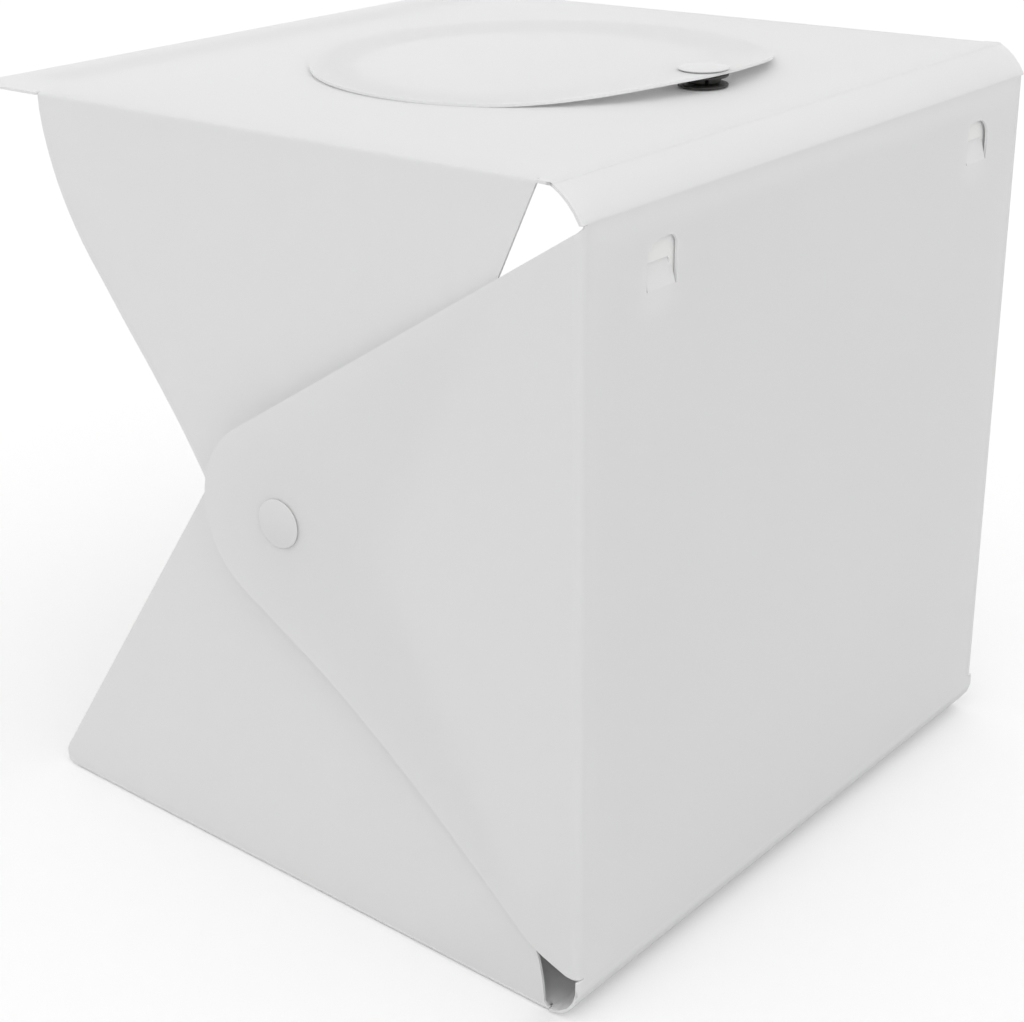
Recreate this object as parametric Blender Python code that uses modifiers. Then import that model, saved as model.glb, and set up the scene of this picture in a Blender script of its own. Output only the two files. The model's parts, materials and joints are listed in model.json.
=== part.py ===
"""A folding light tent cube for small product photographs, in metres, +Z up.

One creased polypropylene sheet makes the bottom, back and top. Three flaps on each side fold
over one another and a press snap holds them. A round cover closes the window in the top, a
light bar sits under the top's front lip, and a backdrop sheet hangs from two hooks cut in the back.
The origin is the bottom centre, the open front faces -Y, and +X is the right side seen from the front.
"""

import math

import bmesh
import bpy
from mathutils import Matrix, Vector

# The closed cube
WIDTH = 0.234
DEPTH = 0.238
HEIGHT = 0.240
SHEET = 0.0008
GAP = 0.0003

# Creases: the two spines cut the rear corners, and the flaps fold round small bends
TOP_SETBACK = 0.0095
TOP_CREASE_TURN = math.radians(28)
BOTTOM_SETBACK = 0.0100
BOTTOM_CREASE_TURN = math.radians(8)
CREASE_RADIUS = 0.0012
BACK_FOLD_RADIUS = 0.0025
FLAP_INSET = 0.0005

# The side flaps, whose round noses lie on one another at the snap. The share tables are traced
# edges: depth shares run from the middle, height shares from the bottom.
NOSE_RADIUS_SHARE = 0.1273
TOP_NOSE_RADIUS_SHARE = 0.1366
SNAP_Y_SHARE = 0.060
SNAP_Z_SHARE = 0.530
TOP_FLAP_REAR_SHARE = 0.440
TOP_FLAP_FRONT_SHARES = (
    (-0.371, 1.0),
    (-0.371, 0.980),
    (-0.368, 0.956),
    (-0.359, 0.917),
    (-0.341, 0.868),
    (-0.311, 0.814),
    (-0.273, 0.763),
    (-0.235, 0.713),
    (-0.193, 0.660),
    (-0.141, 0.589),
    (-0.102, 0.527),
)
TOP_FLAP_TILT = math.radians(1.0)
BOTTOM_FLAP_FRONT_SHARE = -0.468
BOTTOM_FLAP_CORNER = 0.004
BOTTOM_FLAP_REAR_SHARES = ((0.449, 0.0), (0.446, 0.034), (0.434, 0.083), (0.386, 0.183))
BACK_FLAP_FOOT = 0.0143
BACK_FLAP_LOWER_SHARES = (
    (0.482, 0.062),
    (0.434, 0.083),
    (0.400, 0.113),
    (0.359, 0.151),
    (0.286, 0.216),
    (0.221, 0.270),
    (0.154, 0.321),
    (0.107, 0.353),
)

# Press snaps: a cap with a post outside the sheet, a socket, a stud, and a cap inside
SNAP_CAP_RADIUS = 0.0075
SNAP_CAP_HEIGHT = 0.0013
SNAP_CAP_RIM = 0.0005
SNAP_FLANGE_RADIUS = 0.0074
SNAP_FLANGE = 0.0008
SNAP_RING_RADIUS = 0.0052
SOCKET_HEIGHT = 0.0025
SOCKET_WEB = 0.0011
SOCKET_SLOT = 0.0009
SOCKET_SLOTS = 4
KNOB_RADIUS = 0.0026
KNOB_NECK = 0.0023
KNOB_HEIGHT = 0.0009
POST_RADIUS = 0.0013
SNAP_CHAMFER = 0.0003
SNAP_STEPS = 20

# The round cover over the top window, swung a little about its snap
SHEET_SHIFT = -0.0022
COVER_RADIUS = 0.073
COVER_SNAP_INSET = 0.007
COVER_SNAP_FROM_REAR = 0.046
COVER_SWING = math.radians(-5.2)
COVER_FLAT_RADIUS = 0.0095
COVER_REST_INSET = 0.001
COVER_CURL = 0.0012
WINDOW_OVERLAP = 0.018

# Corners of the cut sheet
TOP_CORNER = 0.010
BOTTOM_CORNER = 0.004

# Hooks cut in the back and pushed inward
HOOK_WIDTH = 0.012
HOOK_HEIGHT = 0.0126
HOOK_FROM_EDGE = 0.0315
HOOK_FROM_TOP = 0.0200
HOOK_CUT = 0.0006
HOOK_OUTER_ROUND = 0.0055
HOOK_INNER_ROUND = 0.0025
HOOK_TURN = math.radians(15)

# Backdrop sheet
BACKDROP_SHEET = 0.0004
BACKDROP_MARGIN = 0.006
BACKDROP_ABOVE_HOLE = 0.0095
BACKDROP_SWEEP = 0.080
BACKDROP_FRONT = 0.007
BACKDROP_LIFT = 0.006
BACKDROP_HOLE_SIDE = 0.001

# Light bar: a shallow channel with a deeper box at its -X end for the inlet and the switch
BAR_LENGTH = 0.200
BAR_WIDTH = 0.014
BAR_HEIGHT = 0.0034
BAR_WALL = 0.0008
BAR_FRONT_SHARE = -0.465
BOX_LENGTH = 0.020
BOX_HEIGHT = 0.0078
TAPE_THICKNESS = 0.0008
TAPE_MARGIN = 0.001
BOARD_THICKNESS = 0.0010
LED_COUNT = 20
LED_LENGTH = 0.0035
LED_WIDTH = 0.0028
LED_HEIGHT = 0.0006
INLET_WIDTH = 0.0078
INLET_HEIGHT = 0.0028
INLET_DEPTH = 0.0055
INLET_WALL = 0.0004
BUTTON_RADIUS = 0.0013
BUTTON_PROUD = 0.0010
BUTTON_TRAVEL = 0.0005
BUTTON_FROM_END = 0.013
SWITCH_SIZE = 0.0036

# How finely the round forms are cut
NOSE_STEPS = 16
CREASE_STEPS = 3
SPINE_STEPS = 4
SWEEP_STEPS = 10
COVER_STEPS = 64
COVER_SLICES = 9
HOLE_STEPS = 12
OVERRUN = 0.001

# Worked out from the sizes above
HALF_WIDTH = WIDTH / 2
HALF_DEPTH = DEPTH / 2
NOSE_RADIUS = NOSE_RADIUS_SHARE * DEPTH
TOP_NOSE_RADIUS = TOP_NOSE_RADIUS_SHARE * DEPTH
SNAP_Y = SNAP_Y_SHARE * DEPTH
SNAP_Z = SNAP_Z_SHARE * HEIGHT
POST_HOLE = POST_RADIUS + GAP
STUD_HEIGHT = SNAP_FLANGE + KNOB_HEIGHT
FLAP_OUTER = HALF_WIDTH - FLAP_INSET
TOP_FLAP_FRONT = TOP_FLAP_FRONT_SHARES[0][0] * DEPTH
TOP_FLAP_REAR = TOP_FLAP_REAR_SHARE * DEPTH
BOTTOM_FLAP_FRONT = BOTTOM_FLAP_FRONT_SHARE * DEPTH
BOTTOM_CREASE = HALF_DEPTH - BOTTOM_SETBACK
TOP_CREASE = HALF_DEPTH - TOP_SETBACK
TOP_FLAP_AXIS = Vector((FLAP_OUTER - CREASE_RADIUS, 0, HEIGHT - SHEET))
BOTTOM_FLAP_AXIS = Vector((FLAP_OUTER, 0, 0))
BACK_FLAP_AXIS = Vector((HALF_WIDTH - BACK_FOLD_RADIUS, HALF_DEPTH, 0))
BACK_FLAP_TOP = HEIGHT - TOP_SETBACK - GAP
BACK_FLAP_SNAP_DEPTH = HALF_DEPTH - SNAP_Y
SIDE_STACK = GAP + STUD_HEIGHT + GAP + SOCKET_HEIGHT + GAP + SHEET
BACK_FLAP_SPLAY = math.asin((FLAP_OUTER + SIDE_STACK - HALF_WIDTH) / BACK_FLAP_SNAP_DEPTH)
COVER_REACH = COVER_RADIUS - COVER_SNAP_INSET
COVER_SNAP_Y = HALF_DEPTH - COVER_SNAP_FROM_REAR
COVER_REST_REACH = COVER_RADIUS - COVER_REST_INSET
WINDOW_RADIUS = COVER_RADIUS - WINDOW_OVERLAP
WINDOW_Y = COVER_SNAP_Y - COVER_REACH
COVER_LIFT = GAP + SNAP_FLANGE + GAP + SOCKET_HEIGHT + GAP
HOOK_PLACES = [side * (HALF_WIDTH - HOOK_FROM_EDGE) + SHEET_SHIFT for side in (1, -1)]
HOOK_BASE_Z = HEIGHT - HOOK_FROM_TOP - HOOK_HEIGHT
BACK_MID_Y = HALF_DEPTH - SHEET / 2
BACKDROP_Y = HALF_DEPTH - SHEET - GAP - BACKDROP_SHEET / 2
BACKDROP_HOLE_TOP = HOOK_BASE_Z + (BACK_MID_Y - BACKDROP_Y + SHEET) / math.tan(HOOK_TURN) + SHEET
BACKDROP_HOLE_FOOT = HOOK_BASE_Z - BACKDROP_LIFT - GAP
BACKDROP_TOP = BACKDROP_HOLE_TOP + BACKDROP_ABOVE_HOLE
BAR_FRONT = BAR_FRONT_SHARE * DEPTH
BAR_REAR = BAR_FRONT + BAR_WIDTH
BAR_MIDDLE = (BAR_FRONT + BAR_REAR) / 2
BAR_TOP = HEIGHT - SHEET - GAP - TAPE_THICKNESS - GAP
BAR_FOOT = BAR_TOP - BAR_HEIGHT
BOX_FOOT = BAR_TOP - BOX_HEIGHT
BOARD_TOP = BAR_TOP - BAR_WALL - GAP
BOARD_FOOT = BOARD_TOP - BOARD_THICKNESS
BUTTON_X = -BAR_LENGTH / 2 + BUTTON_FROM_END
BUTTON_Z = (BOARD_FOOT + BOX_FOOT + BAR_WALL) / 2


def clear_scene():
    for obj in list(bpy.data.objects):
        bpy.data.objects.remove(obj)


def make_collection(name):
    collection = bpy.data.collections.new(name)
    bpy.context.scene.collection.children.link(collection)
    return collection


def make_material(name, colour, roughness, metallic=0.0):
    material = bpy.data.materials.new(name)
    material.use_nodes = True
    shader = material.node_tree.nodes["Principled BSDF"]
    shader.inputs["Base Color"].default_value = (*colour, 1.0)
    shader.inputs["Roughness"].default_value = roughness
    shader.inputs["Metallic"].default_value = metallic
    return material


def add_object(name, mesh, material):
    obj = bpy.data.objects.new(name, mesh)
    mesh.name = name
    mesh.materials.clear()
    mesh.materials.append(material)
    parts.objects.link(obj)
    return obj


def to_mesh(obj):
    """The object as the viewport shows it, as a mesh with its caps welded."""
    graph = bpy.context.evaluated_depsgraph_get()
    mesh = bpy.data.meshes.new_from_object(obj.evaluated_get(graph))
    bm = bmesh.new()
    bm.from_mesh(mesh)
    bmesh.ops.remove_doubles(bm, verts=bm.verts, dist=OVERRUN / 100)
    bmesh.ops.recalc_face_normals(bm, faces=bm.faces)
    bm.to_mesh(mesh)
    bm.free()
    return mesh


def arc(centre, radius, start, end, steps):
    """Points on a circle from one angle to another, both ends included."""
    turns = [start + (end - start) * i / steps for i in range(steps + 1)]
    return [(centre[0] + radius * math.cos(a), centre[1] + radius * math.sin(a)) for a in turns]


def circle(centre, radius, steps):
    return arc(centre, radius, 0, 2 * math.pi, steps)[:-1]


def spline(points, steps=3):
    """A smooth line through the points, with more between them."""
    ends = [points[0]] + list(points) + [points[-1]]
    line = []
    for a, b, c, d in zip(ends, ends[1:], ends[2:], ends[3:]):
        for i in range(steps):
            t = i / steps
            weights = (
                (-t + 2 * t * t - t**3) / 2,
                (2 - 5 * t * t + 3 * t**3) / 2,
                (t + 4 * t * t - 3 * t**3) / 2,
                (t**3 - t * t) / 2,
            )
            line.append(tuple(sum(w * p[k] for w, p in zip(weights, (a, b, c, d))) for k in (0, 1)))
    line.append(tuple(points[-1]))
    return line


def rounded(corners, radii, steps=5):
    """A polygon whose corners are rounded, each by its own radius."""
    points = []
    count = len(corners)
    for i, (corner, radius) in enumerate(zip(corners, radii)):
        here = Vector(corner)
        if not radius:
            points.append(tuple(here))
            continue
        before = (Vector(corners[i - 1]) - here).normalized()
        after = (Vector(corners[(i + 1) % count]) - here).normalized()
        half = before.angle(after) / 2
        centre = here + (before + after).normalized() * radius / math.sin(half)
        first = here + before * radius / math.tan(half) - centre
        last = here + after * radius / math.tan(half) - centre
        turn = math.atan2(first.x * last.y - first.y * last.x, first.dot(last))
        start = math.atan2(first.y, first.x)
        points += arc(centre, radius, start, start + turn, steps)
    return points


def tangent_angle(point, centre, radius, side):
    """The angle on a circle where a line from the point touches it; side is +1 or -1."""
    away = Vector(point) - Vector(centre)
    return math.atan2(away.y, away.x) + side * math.acos(radius / away.length)


def flat_sheet(loops, thickness):
    """A sheet cut to an outline with holes, in the XY plane, with its thickness about z = 0."""
    curve = bpy.data.curves.new("outline", "CURVE")
    curve.dimensions = "2D"
    curve.fill_mode = "BOTH"
    curve.extrude = thickness / 2
    for loop in loops:
        stroke = curve.splines.new("POLY")
        stroke.points.add(len(loop) - 1)
        for point, place in zip(stroke.points, loop):
            point.co = (place[0], place[1], 0, 1)
        stroke.use_cyclic_u = True
    guide = bpy.data.objects.new("outline", curve)
    cutters.objects.link(guide)
    mesh = to_mesh(guide)
    bpy.data.objects.remove(guide)
    return mesh


def slice_mesh(mesh, axis, places):
    """Cuts every face where the given axis crosses each place, so that a bend has points to turn."""
    bm = bmesh.new()
    bm.from_mesh(mesh)
    for place in places:
        everything = bm.verts[:] + bm.edges[:] + bm.faces[:]
        bmesh.ops.bisect_plane(bm, geom=everything, plane_co=axis * place, plane_no=axis)
    bmesh.ops.triangulate(bm, faces=bm.faces)
    bm.to_mesh(mesh)
    bm.free()


def bend_point(place, bends, middle):
    """Follows the sheet from x = 0 through its bends, which turn it from +X towards -Z."""
    left = place.x
    spot = Vector((0, middle))
    heading = 0.0
    travelled = 0.0
    for start, radius, turn in bends:
        if left <= start:
            break
        spot += (start - travelled) * Vector((math.cos(heading), -math.sin(heading)))
        part = min((left - start) / radius, turn)
        spot += radius * Vector(
            (
                math.sin(heading + part) - math.sin(heading),
                math.cos(heading + part) - math.cos(heading),
            )
        )
        heading += part
        travelled = start + radius * part
    spot += (left - travelled) * Vector((math.cos(heading), -math.sin(heading)))
    offset = place.z * Vector((math.sin(heading), math.cos(heading)))
    return Vector((spot.x + offset.x, place.y, spot.y + offset.y))


def bent_sheet(loops, thickness, bends, steps, middle=0.0):
    """A cut sheet bent about lines parallel to Y. Each bend has a start, a middle radius and a turn."""
    mesh = flat_sheet(loops, thickness)
    places = []
    for start, radius, turn in bends:
        places += [start + radius * turn * i / steps for i in range(steps + 1)]
    slice_mesh(mesh, Vector((1, 0, 0)), sorted(set(places)))
    for vertex in mesh.vertices:
        vertex.co = bend_point(vertex.co, bends, middle)
    return mesh


def frame(origin, x_axis, z_axis):
    """A placement with its own X and Z along the given directions."""
    x_axis = Vector(x_axis)
    z_axis = Vector(z_axis)
    y_axis = z_axis.cross(x_axis)
    turn = Matrix((x_axis, y_axis, z_axis)).transposed().to_4x4()
    return Matrix.Translation(origin) @ turn


def mirrored(obj, name):
    """The left-hand twin of a right-hand piece."""
    mirror = Matrix.Scale(-1, 4, Vector((1, 0, 0)))
    mesh = obj.data.copy()
    mesh.transform(mirror)
    mesh.flip_normals()
    twin = add_object(name, mesh, obj.data.materials[0])
    twin.matrix_world = mirror @ obj.matrix_world @ mirror
    return twin


def turned(name, profile, closed):
    """A solid turned about Z from a profile of (radius, height) points, top to bottom outside."""
    mesh = bpy.data.meshes.new(name)
    bm = bmesh.new()
    points = [bm.verts.new((radius, 0, height)) for radius, height in profile]
    pairs = list(zip(points, points[1:]))
    if closed:
        pairs.append((points[-1], points[0]))
    for first, second in pairs:
        bm.edges.new((first, second))
    bm.to_mesh(mesh)
    bm.free()
    guide = bpy.data.objects.new(name, mesh)
    cutters.objects.link(guide)
    screw = guide.modifiers.new("turn", "SCREW")
    screw.steps = SNAP_STEPS
    screw.render_steps = SNAP_STEPS
    screw.use_merge_vertices = True
    screw.merge_threshold = OVERRUN / 100
    made = to_mesh(guide)
    bpy.data.objects.remove(guide)
    return made


def box_mesh(low, high):
    mesh = bpy.data.meshes.new("box")
    bm = bmesh.new()
    bmesh.ops.create_cube(bm, size=1)
    low = Vector(low)
    high = Vector(high)
    size = Matrix.Diagonal((*(high - low), 1))
    bmesh.ops.transform(bm, matrix=Matrix.Translation((low + high) / 2) @ size, verts=bm.verts)
    bm.to_mesh(mesh)
    bm.free()
    return mesh


def combine(obj, mesh, operation):
    """Cuts or joins a mesh with an object through an exact Boolean."""
    cutter = bpy.data.objects.new(obj.name + "_cutter", mesh)
    cutters.objects.link(cutter)
    cutter.hide_render = True
    cutter.display_type = "WIRE"
    cutter.matrix_world = obj.matrix_world
    boolean = obj.modifiers.new(operation.lower(), "BOOLEAN")
    boolean.object = cutter
    boolean.operation = operation
    boolean.solver = "EXACT"


def joined_mesh(boxes):
    """Several boxes in one mesh, none touching another."""
    bm = bmesh.new()
    for low, high in boxes:
        bm.from_mesh(box_mesh(low, high))
    mesh = bpy.data.meshes.new("boxes")
    bm.to_mesh(mesh)
    bm.free()
    return mesh


def seat(obj, parent, place):
    obj.parent = parent
    obj.matrix_parent_inverse = Matrix()
    obj.matrix_local = place


def smooth(obj):
    obj.data.shade_smooth()
    obj.data.set_sharp_from_angle(angle=math.radians(40))


def panel_outline(front, rear, half, notched, notch_front, notch_rear, corner):
    """A panel with rounded front corners, narrower between the two notch places."""
    edge = [(half, front)]
    radii = [corner]
    if front < notch_front:
        edge += [(half, notch_front), (notched, notch_front)]
        radii += [0, 0]
    if notch_rear < rear:
        edge += [(notched, notch_rear), (half, notch_rear)]
        radii += [0, 0]
    edge.append((edge[-1][0], rear))
    radii.append(0)
    corners = edge + [(-x, y) for x, y in reversed(edge)]
    return rounded(corners, radii + radii[::-1])


def make_panels():
    """The bottom, back and top panels, and the two narrow spines between them."""
    rear = BOTTOM_CREASE - GAP
    front = BOTTOM_FLAP_FRONT
    half = FLAP_OUTER - SHEET - GAP
    outline = panel_outline(front, rear, half, half, front, rear, BOTTOM_CORNER)
    bottom = add_object("bottom_panel", flat_sheet([outline], SHEET), polypropylene)
    bottom.location = (0, 0, SHEET / 2)

    outline = panel_outline(
        -HALF_DEPTH,
        TOP_CREASE - GAP,
        HALF_WIDTH,
        TOP_FLAP_AXIS.x - GAP,
        TOP_FLAP_FRONT - GAP,
        TOP_FLAP_REAR + GAP,
        TOP_CORNER,
    )
    window = circle((SHEET_SHIFT, WINDOW_Y), WINDOW_RADIUS, COVER_STEPS)
    snap_hole = circle((SHEET_SHIFT, COVER_SNAP_Y), POST_HOLE, HOLE_STEPS)
    top = add_object("top_panel", flat_sheet([outline, window, snap_hole], SHEET), polypropylene)
    top.location = (0, 0, HEIGHT - SHEET / 2)

    make_back_panel()
    make_spine(
        "bottom_spine",
        BOTTOM_SETBACK,
        BOTTOM_CREASE_TURN,
        frame((0, BOTTOM_CREASE, 0), (0, 1, 0), (0, 0, -1)),
    )
    make_spine(
        "top_spine",
        TOP_SETBACK,
        TOP_CREASE_TURN,
        frame((0, HALF_DEPTH, HEIGHT - TOP_SETBACK), (0, 0, 1), (0, 1, 0)),
    )


def make_spine(name, setback, turn, place):
    """A strip with a crease at each edge and a slack curve between, which turns the sheet 90 degrees."""
    crease = CREASE_RADIUS - SHEET / 2
    reach = setback - SHEET / 2
    slack = (reach - crease * (1 + math.sin(turn) - math.cos(turn))) / (
        math.cos(turn) - math.sin(turn)
    )
    slack_turn = math.pi / 2 - 2 * turn
    slack_end = crease * turn + slack * slack_turn
    length = slack_end + crease * turn
    bends = [
        (0, crease, turn),
        (crease * turn, slack, slack_turn),
        (slack_end, crease, turn),
    ]
    outline = [(0, -HALF_WIDTH), (length, -HALF_WIDTH), (length, HALF_WIDTH), (0, HALF_WIDTH)]
    mesh = bent_sheet([outline], SHEET, bends, SPINE_STEPS, -SHEET / 2)
    obj = add_object(name, mesh, polypropylene)
    obj.matrix_world = place
    smooth(obj)


def hook_cut(x, side):
    """The U-shaped cut round one hook: a slot whose inner wall is the hook's own outline."""
    half = HOOK_WIDTH / 2
    foot = HOOK_BASE_Z
    tip = foot + HOOK_HEIGHT

    def u_shape(grow):
        corners = [
            (x + side * (half + grow), foot),
            (x + side * (half + grow), tip + grow),
            (x - side * (half + grow), tip + grow),
            (x - side * (half + grow), foot),
        ]
        return rounded(corners, [0, HOOK_OUTER_ROUND + grow, HOOK_INNER_ROUND + grow, 0])

    return u_shape(HOOK_CUT) + u_shape(0)[::-1]


def make_back_panel():
    """The back is drawn in its own plane; its hooks are then pushed inward about their feet."""
    notched = BACK_FLAP_AXIS.x - GAP
    low = BOTTOM_SETBACK + GAP
    notch = BACK_FLAP_FOOT - GAP
    edge = [(HALF_WIDTH, low), (HALF_WIDTH, notch), (notched, notch), (notched, BACK_FLAP_TOP)]
    outline = edge + [(-x, z) for x, z in reversed(edge)]
    hooks = [(-x, math.copysign(1, -x)) for x in HOOK_PLACES]
    loops = [outline] + [hook_cut(x, side) for x, side in hooks]
    mesh = flat_sheet(loops, SHEET)
    bend = CREASE_RADIUS * HOOK_TURN
    places = [HOOK_BASE_Z + bend * i / CREASE_STEPS for i in range(CREASE_STEPS + 1)]
    slice_mesh(mesh, Vector((0, 1, 0)), places)
    for vertex in mesh.vertices:
        if vertex.co.y > HOOK_BASE_Z and any(in_hook(vertex.co, x, side) for x, side in hooks):
            up = Vector((vertex.co.y - HOOK_BASE_Z, 0, vertex.co.z))
            bent = bend_point(up, [(0, CREASE_RADIUS, HOOK_TURN)], 0)
            vertex.co = (vertex.co.x, HOOK_BASE_Z + bent.x, bent.z)
    obj = add_object("back_panel", mesh, polypropylene)
    obj.matrix_world = frame((0, BACK_MID_Y, 0), (-1, 0, 0), (0, 1, 0))


def in_hook(place, x, side):
    """Whether a point of the back's drawing is on a hook and not on the far wall of its cut."""
    across = (place.x - x) * side
    inset_x = HOOK_WIDTH / 2 - abs(across)
    inset_y = HOOK_BASE_Z + HOOK_HEIGHT - place.y
    round_off = HOOK_OUTER_ROUND if across > 0 else HOOK_INNER_ROUND
    tolerance = HOOK_CUT / 2
    if inset_x < -tolerance or inset_y < -tolerance:
        return False
    if inset_x >= round_off or inset_y >= round_off:
        return True
    return math.hypot(round_off - inset_x, round_off - inset_y) <= round_off + tolerance


def share_points(shares):
    """Traced points in metres, as (y, z)."""
    return [(y * DEPTH, z * HEIGHT) for y, z in shares]


def make_top_flap():
    """Hangs from the top's side crease, tilted in so that its nose lies inside the bottom flap."""
    crease = CREASE_RADIUS - SHEET / 2
    bend = crease * math.pi / 2
    shift = HEIGHT - CREASE_RADIUS + bend
    centre = (SNAP_Y, SNAP_Z)
    rear_top = (TOP_FLAP_REAR, HEIGHT)
    front_edge = share_points(TOP_FLAP_FRONT_SHARES)
    start = tangent_angle(front_edge[-1], centre, TOP_NOSE_RADIUS, 1)
    start += 2 * math.pi if start < 0 else 0
    end = tangent_angle(rear_top, centre, TOP_NOSE_RADIUS, -1) + 2 * math.pi
    outline = spline(front_edge[1:])
    outline += arc(centre, TOP_NOSE_RADIUS, start, end, NOSE_STEPS)
    outline.append((TOP_FLAP_REAR, HEIGHT - CREASE_RADIUS))
    outline = [(shift - z, y) for y, z in outline]
    outline += [(0, TOP_FLAP_REAR), (0, TOP_FLAP_FRONT)]
    hole = circle((shift - SNAP_Z, SNAP_Y), POST_HOLE, HOLE_STEPS)
    mesh = bent_sheet(
        [outline, hole], SHEET, [(0, crease, math.pi / 2)], CREASE_STEPS, SHEET / 2
    )
    flap = add_object("top_flap_right", mesh, polypropylene)
    tilt = Matrix.Rotation(TOP_FLAP_TILT, 4, Vector((0, 1, 0)))
    flap.matrix_world = Matrix.Translation(TOP_FLAP_AXIS) @ tilt
    smooth(flap)
    inner_face = CREASE_RADIUS - SHEET
    nose_drop = HEIGHT - SHEET - SNAP_Z
    cap = add_object("snap_inner_cap_right", short_cap_mesh, white_plastic)
    seat(cap, flap, frame((inner_face - GAP, SNAP_Y, -nose_drop), (0, 0, -1), (-1, 0, 0)))
    return [flap, cap]


def make_bottom_flap():
    """Stands up from the bottom's side crease, and carries the stud."""
    centre = (SNAP_Y, SNAP_Z)
    front = BOTTOM_FLAP_FRONT
    rear = BOTTOM_CREASE - GAP
    start = tangent_angle((front, BOTTOM_FLAP_CORNER), centre, NOSE_RADIUS, -1)
    rear_edge = share_points(BOTTOM_FLAP_REAR_SHARES)
    end = tangent_angle(rear_edge[-1], centre, NOSE_RADIUS, 1)
    nose = arc(centre, NOSE_RADIUS, start % (2 * math.pi), end, NOSE_STEPS)
    front_corner = rounded([(front, 0), nose[0], (rear, 0)], [BOTTOM_FLAP_CORNER, 0, 0])[:-2]
    outline = front_corner + nose + spline(rear_edge[::-1])[:-1] + [(rear, 0)]
    outline = [(z, -y) for y, z in outline]
    hole = circle((SNAP_Z, -SNAP_Y), POST_HOLE, HOLE_STEPS)
    mesh = flat_sheet([outline, hole], SHEET)
    for vertex in mesh.vertices:
        vertex.co.z -= SHEET / 2
    flap = add_object("bottom_flap_right", mesh, polypropylene)
    flap.matrix_world = frame(BOTTOM_FLAP_AXIS, (0, 0, 1), (1, 0, 0))
    stud = add_object("snap_stud_right", shank_stud_mesh, black_plastic)
    seat(stud, flap, Matrix.Translation((SNAP_Z, -SNAP_Y, GAP)))
    return [flap, stud]


def make_back_flap():
    """Wraps round from the back over both other flaps, and carries the outer cap and the socket."""
    radius = BACK_FOLD_RADIUS - SHEET / 2
    bend = radius * math.pi / 2
    shift = HALF_DEPTH - BACK_FOLD_RADIUS + bend
    centre = (SNAP_Y, SNAP_Z)
    start = tangent_angle((HALF_DEPTH, BACK_FLAP_TOP), centre, NOSE_RADIUS, 1)
    lower = share_points(BACK_FLAP_LOWER_SHARES)
    end = tangent_angle(lower[-1], centre, NOSE_RADIUS, -1)
    outline = arc(centre, NOSE_RADIUS, start, end % (2 * math.pi), NOSE_STEPS)
    outline += spline(lower[::-1])
    outline = [(shift - y, -z) for y, z in outline]
    outline += [(0, -BACK_FLAP_FOOT), (0, -BACK_FLAP_TOP)]
    hole = circle((shift - SNAP_Y, -SNAP_Z), POST_HOLE, HOLE_STEPS)
    mesh = bent_sheet(
        [outline, hole], SHEET, [(0, radius, math.pi / 2)], 2 * CREASE_STEPS, -SHEET / 2
    )
    flap = add_object("back_flap_right", mesh, polypropylene)
    splay = Matrix.Rotation(BACK_FLAP_SPLAY, 4, Vector((0, 0, 1)))
    upright = frame((0, 0, 0), (1, 0, 0), (0, 1, 0))
    flap.matrix_world = Matrix.Translation(BACK_FLAP_AXIS) @ splay @ upright
    smooth(flap)
    outer = BACK_FOLD_RADIUS + GAP
    inner = BACK_FOLD_RADIUS - SHEET - GAP
    cap = add_object("snap_cap_right", long_cap_mesh, white_plastic)
    seat(cap, flap, frame((outer, -SNAP_Z, -BACK_FLAP_SNAP_DEPTH), (0, 0, -1), (1, 0, 0)))
    socket = add_object("snap_socket_right", socket_mesh, black_plastic)
    seat(socket, flap, frame((inner, -SNAP_Z, -BACK_FLAP_SNAP_DEPTH), (0, 0, -1), (-1, 0, 0)))
    return [flap, cap, socket]


def cap_profile(post):
    """A domed cap with a thin rim and a post below, its seat at height 0."""
    rim = SNAP_CAP_RIM
    rise = SNAP_CAP_HEIGHT - rim
    dome = (SNAP_CAP_RADIUS**2 + rise**2) / (2 * rise)
    reach = math.asin(SNAP_CAP_RADIUS / dome)
    steps = 5
    points = []
    for i in range(steps + 1):
        turn = reach * i / steps
        points.append((dome * math.sin(turn), SNAP_CAP_HEIGHT - dome * (1 - math.cos(turn))))
    points += [
        (SNAP_CAP_RADIUS - SNAP_CHAMFER, 0),
        (POST_RADIUS, 0),
        (POST_RADIUS, SNAP_CHAMFER - post),
        (POST_RADIUS - SNAP_CHAMFER, -post),
        (0, -post),
    ]
    return points


def socket_profile():
    """A ring on a flange, its seat at height 0 and its mouth upward; the cap's post fills its web."""
    return [
        (KNOB_RADIUS + GAP, SOCKET_HEIGHT - SNAP_CHAMFER),
        (KNOB_RADIUS + GAP + SNAP_CHAMFER, SOCKET_HEIGHT),
        (SNAP_RING_RADIUS - SNAP_CHAMFER, SOCKET_HEIGHT),
        (SNAP_RING_RADIUS, SOCKET_HEIGHT - SNAP_CHAMFER),
        (SNAP_RING_RADIUS, SNAP_FLANGE),
        (SNAP_FLANGE_RADIUS - SNAP_CHAMFER, SNAP_FLANGE),
        (SNAP_FLANGE_RADIUS, SNAP_FLANGE - SNAP_CHAMFER),
        (SNAP_FLANGE_RADIUS, 0),
        (POST_HOLE, 0),
        (POST_HOLE, SOCKET_WEB),
        (KNOB_RADIUS + GAP, SOCKET_WEB),
    ]


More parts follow.
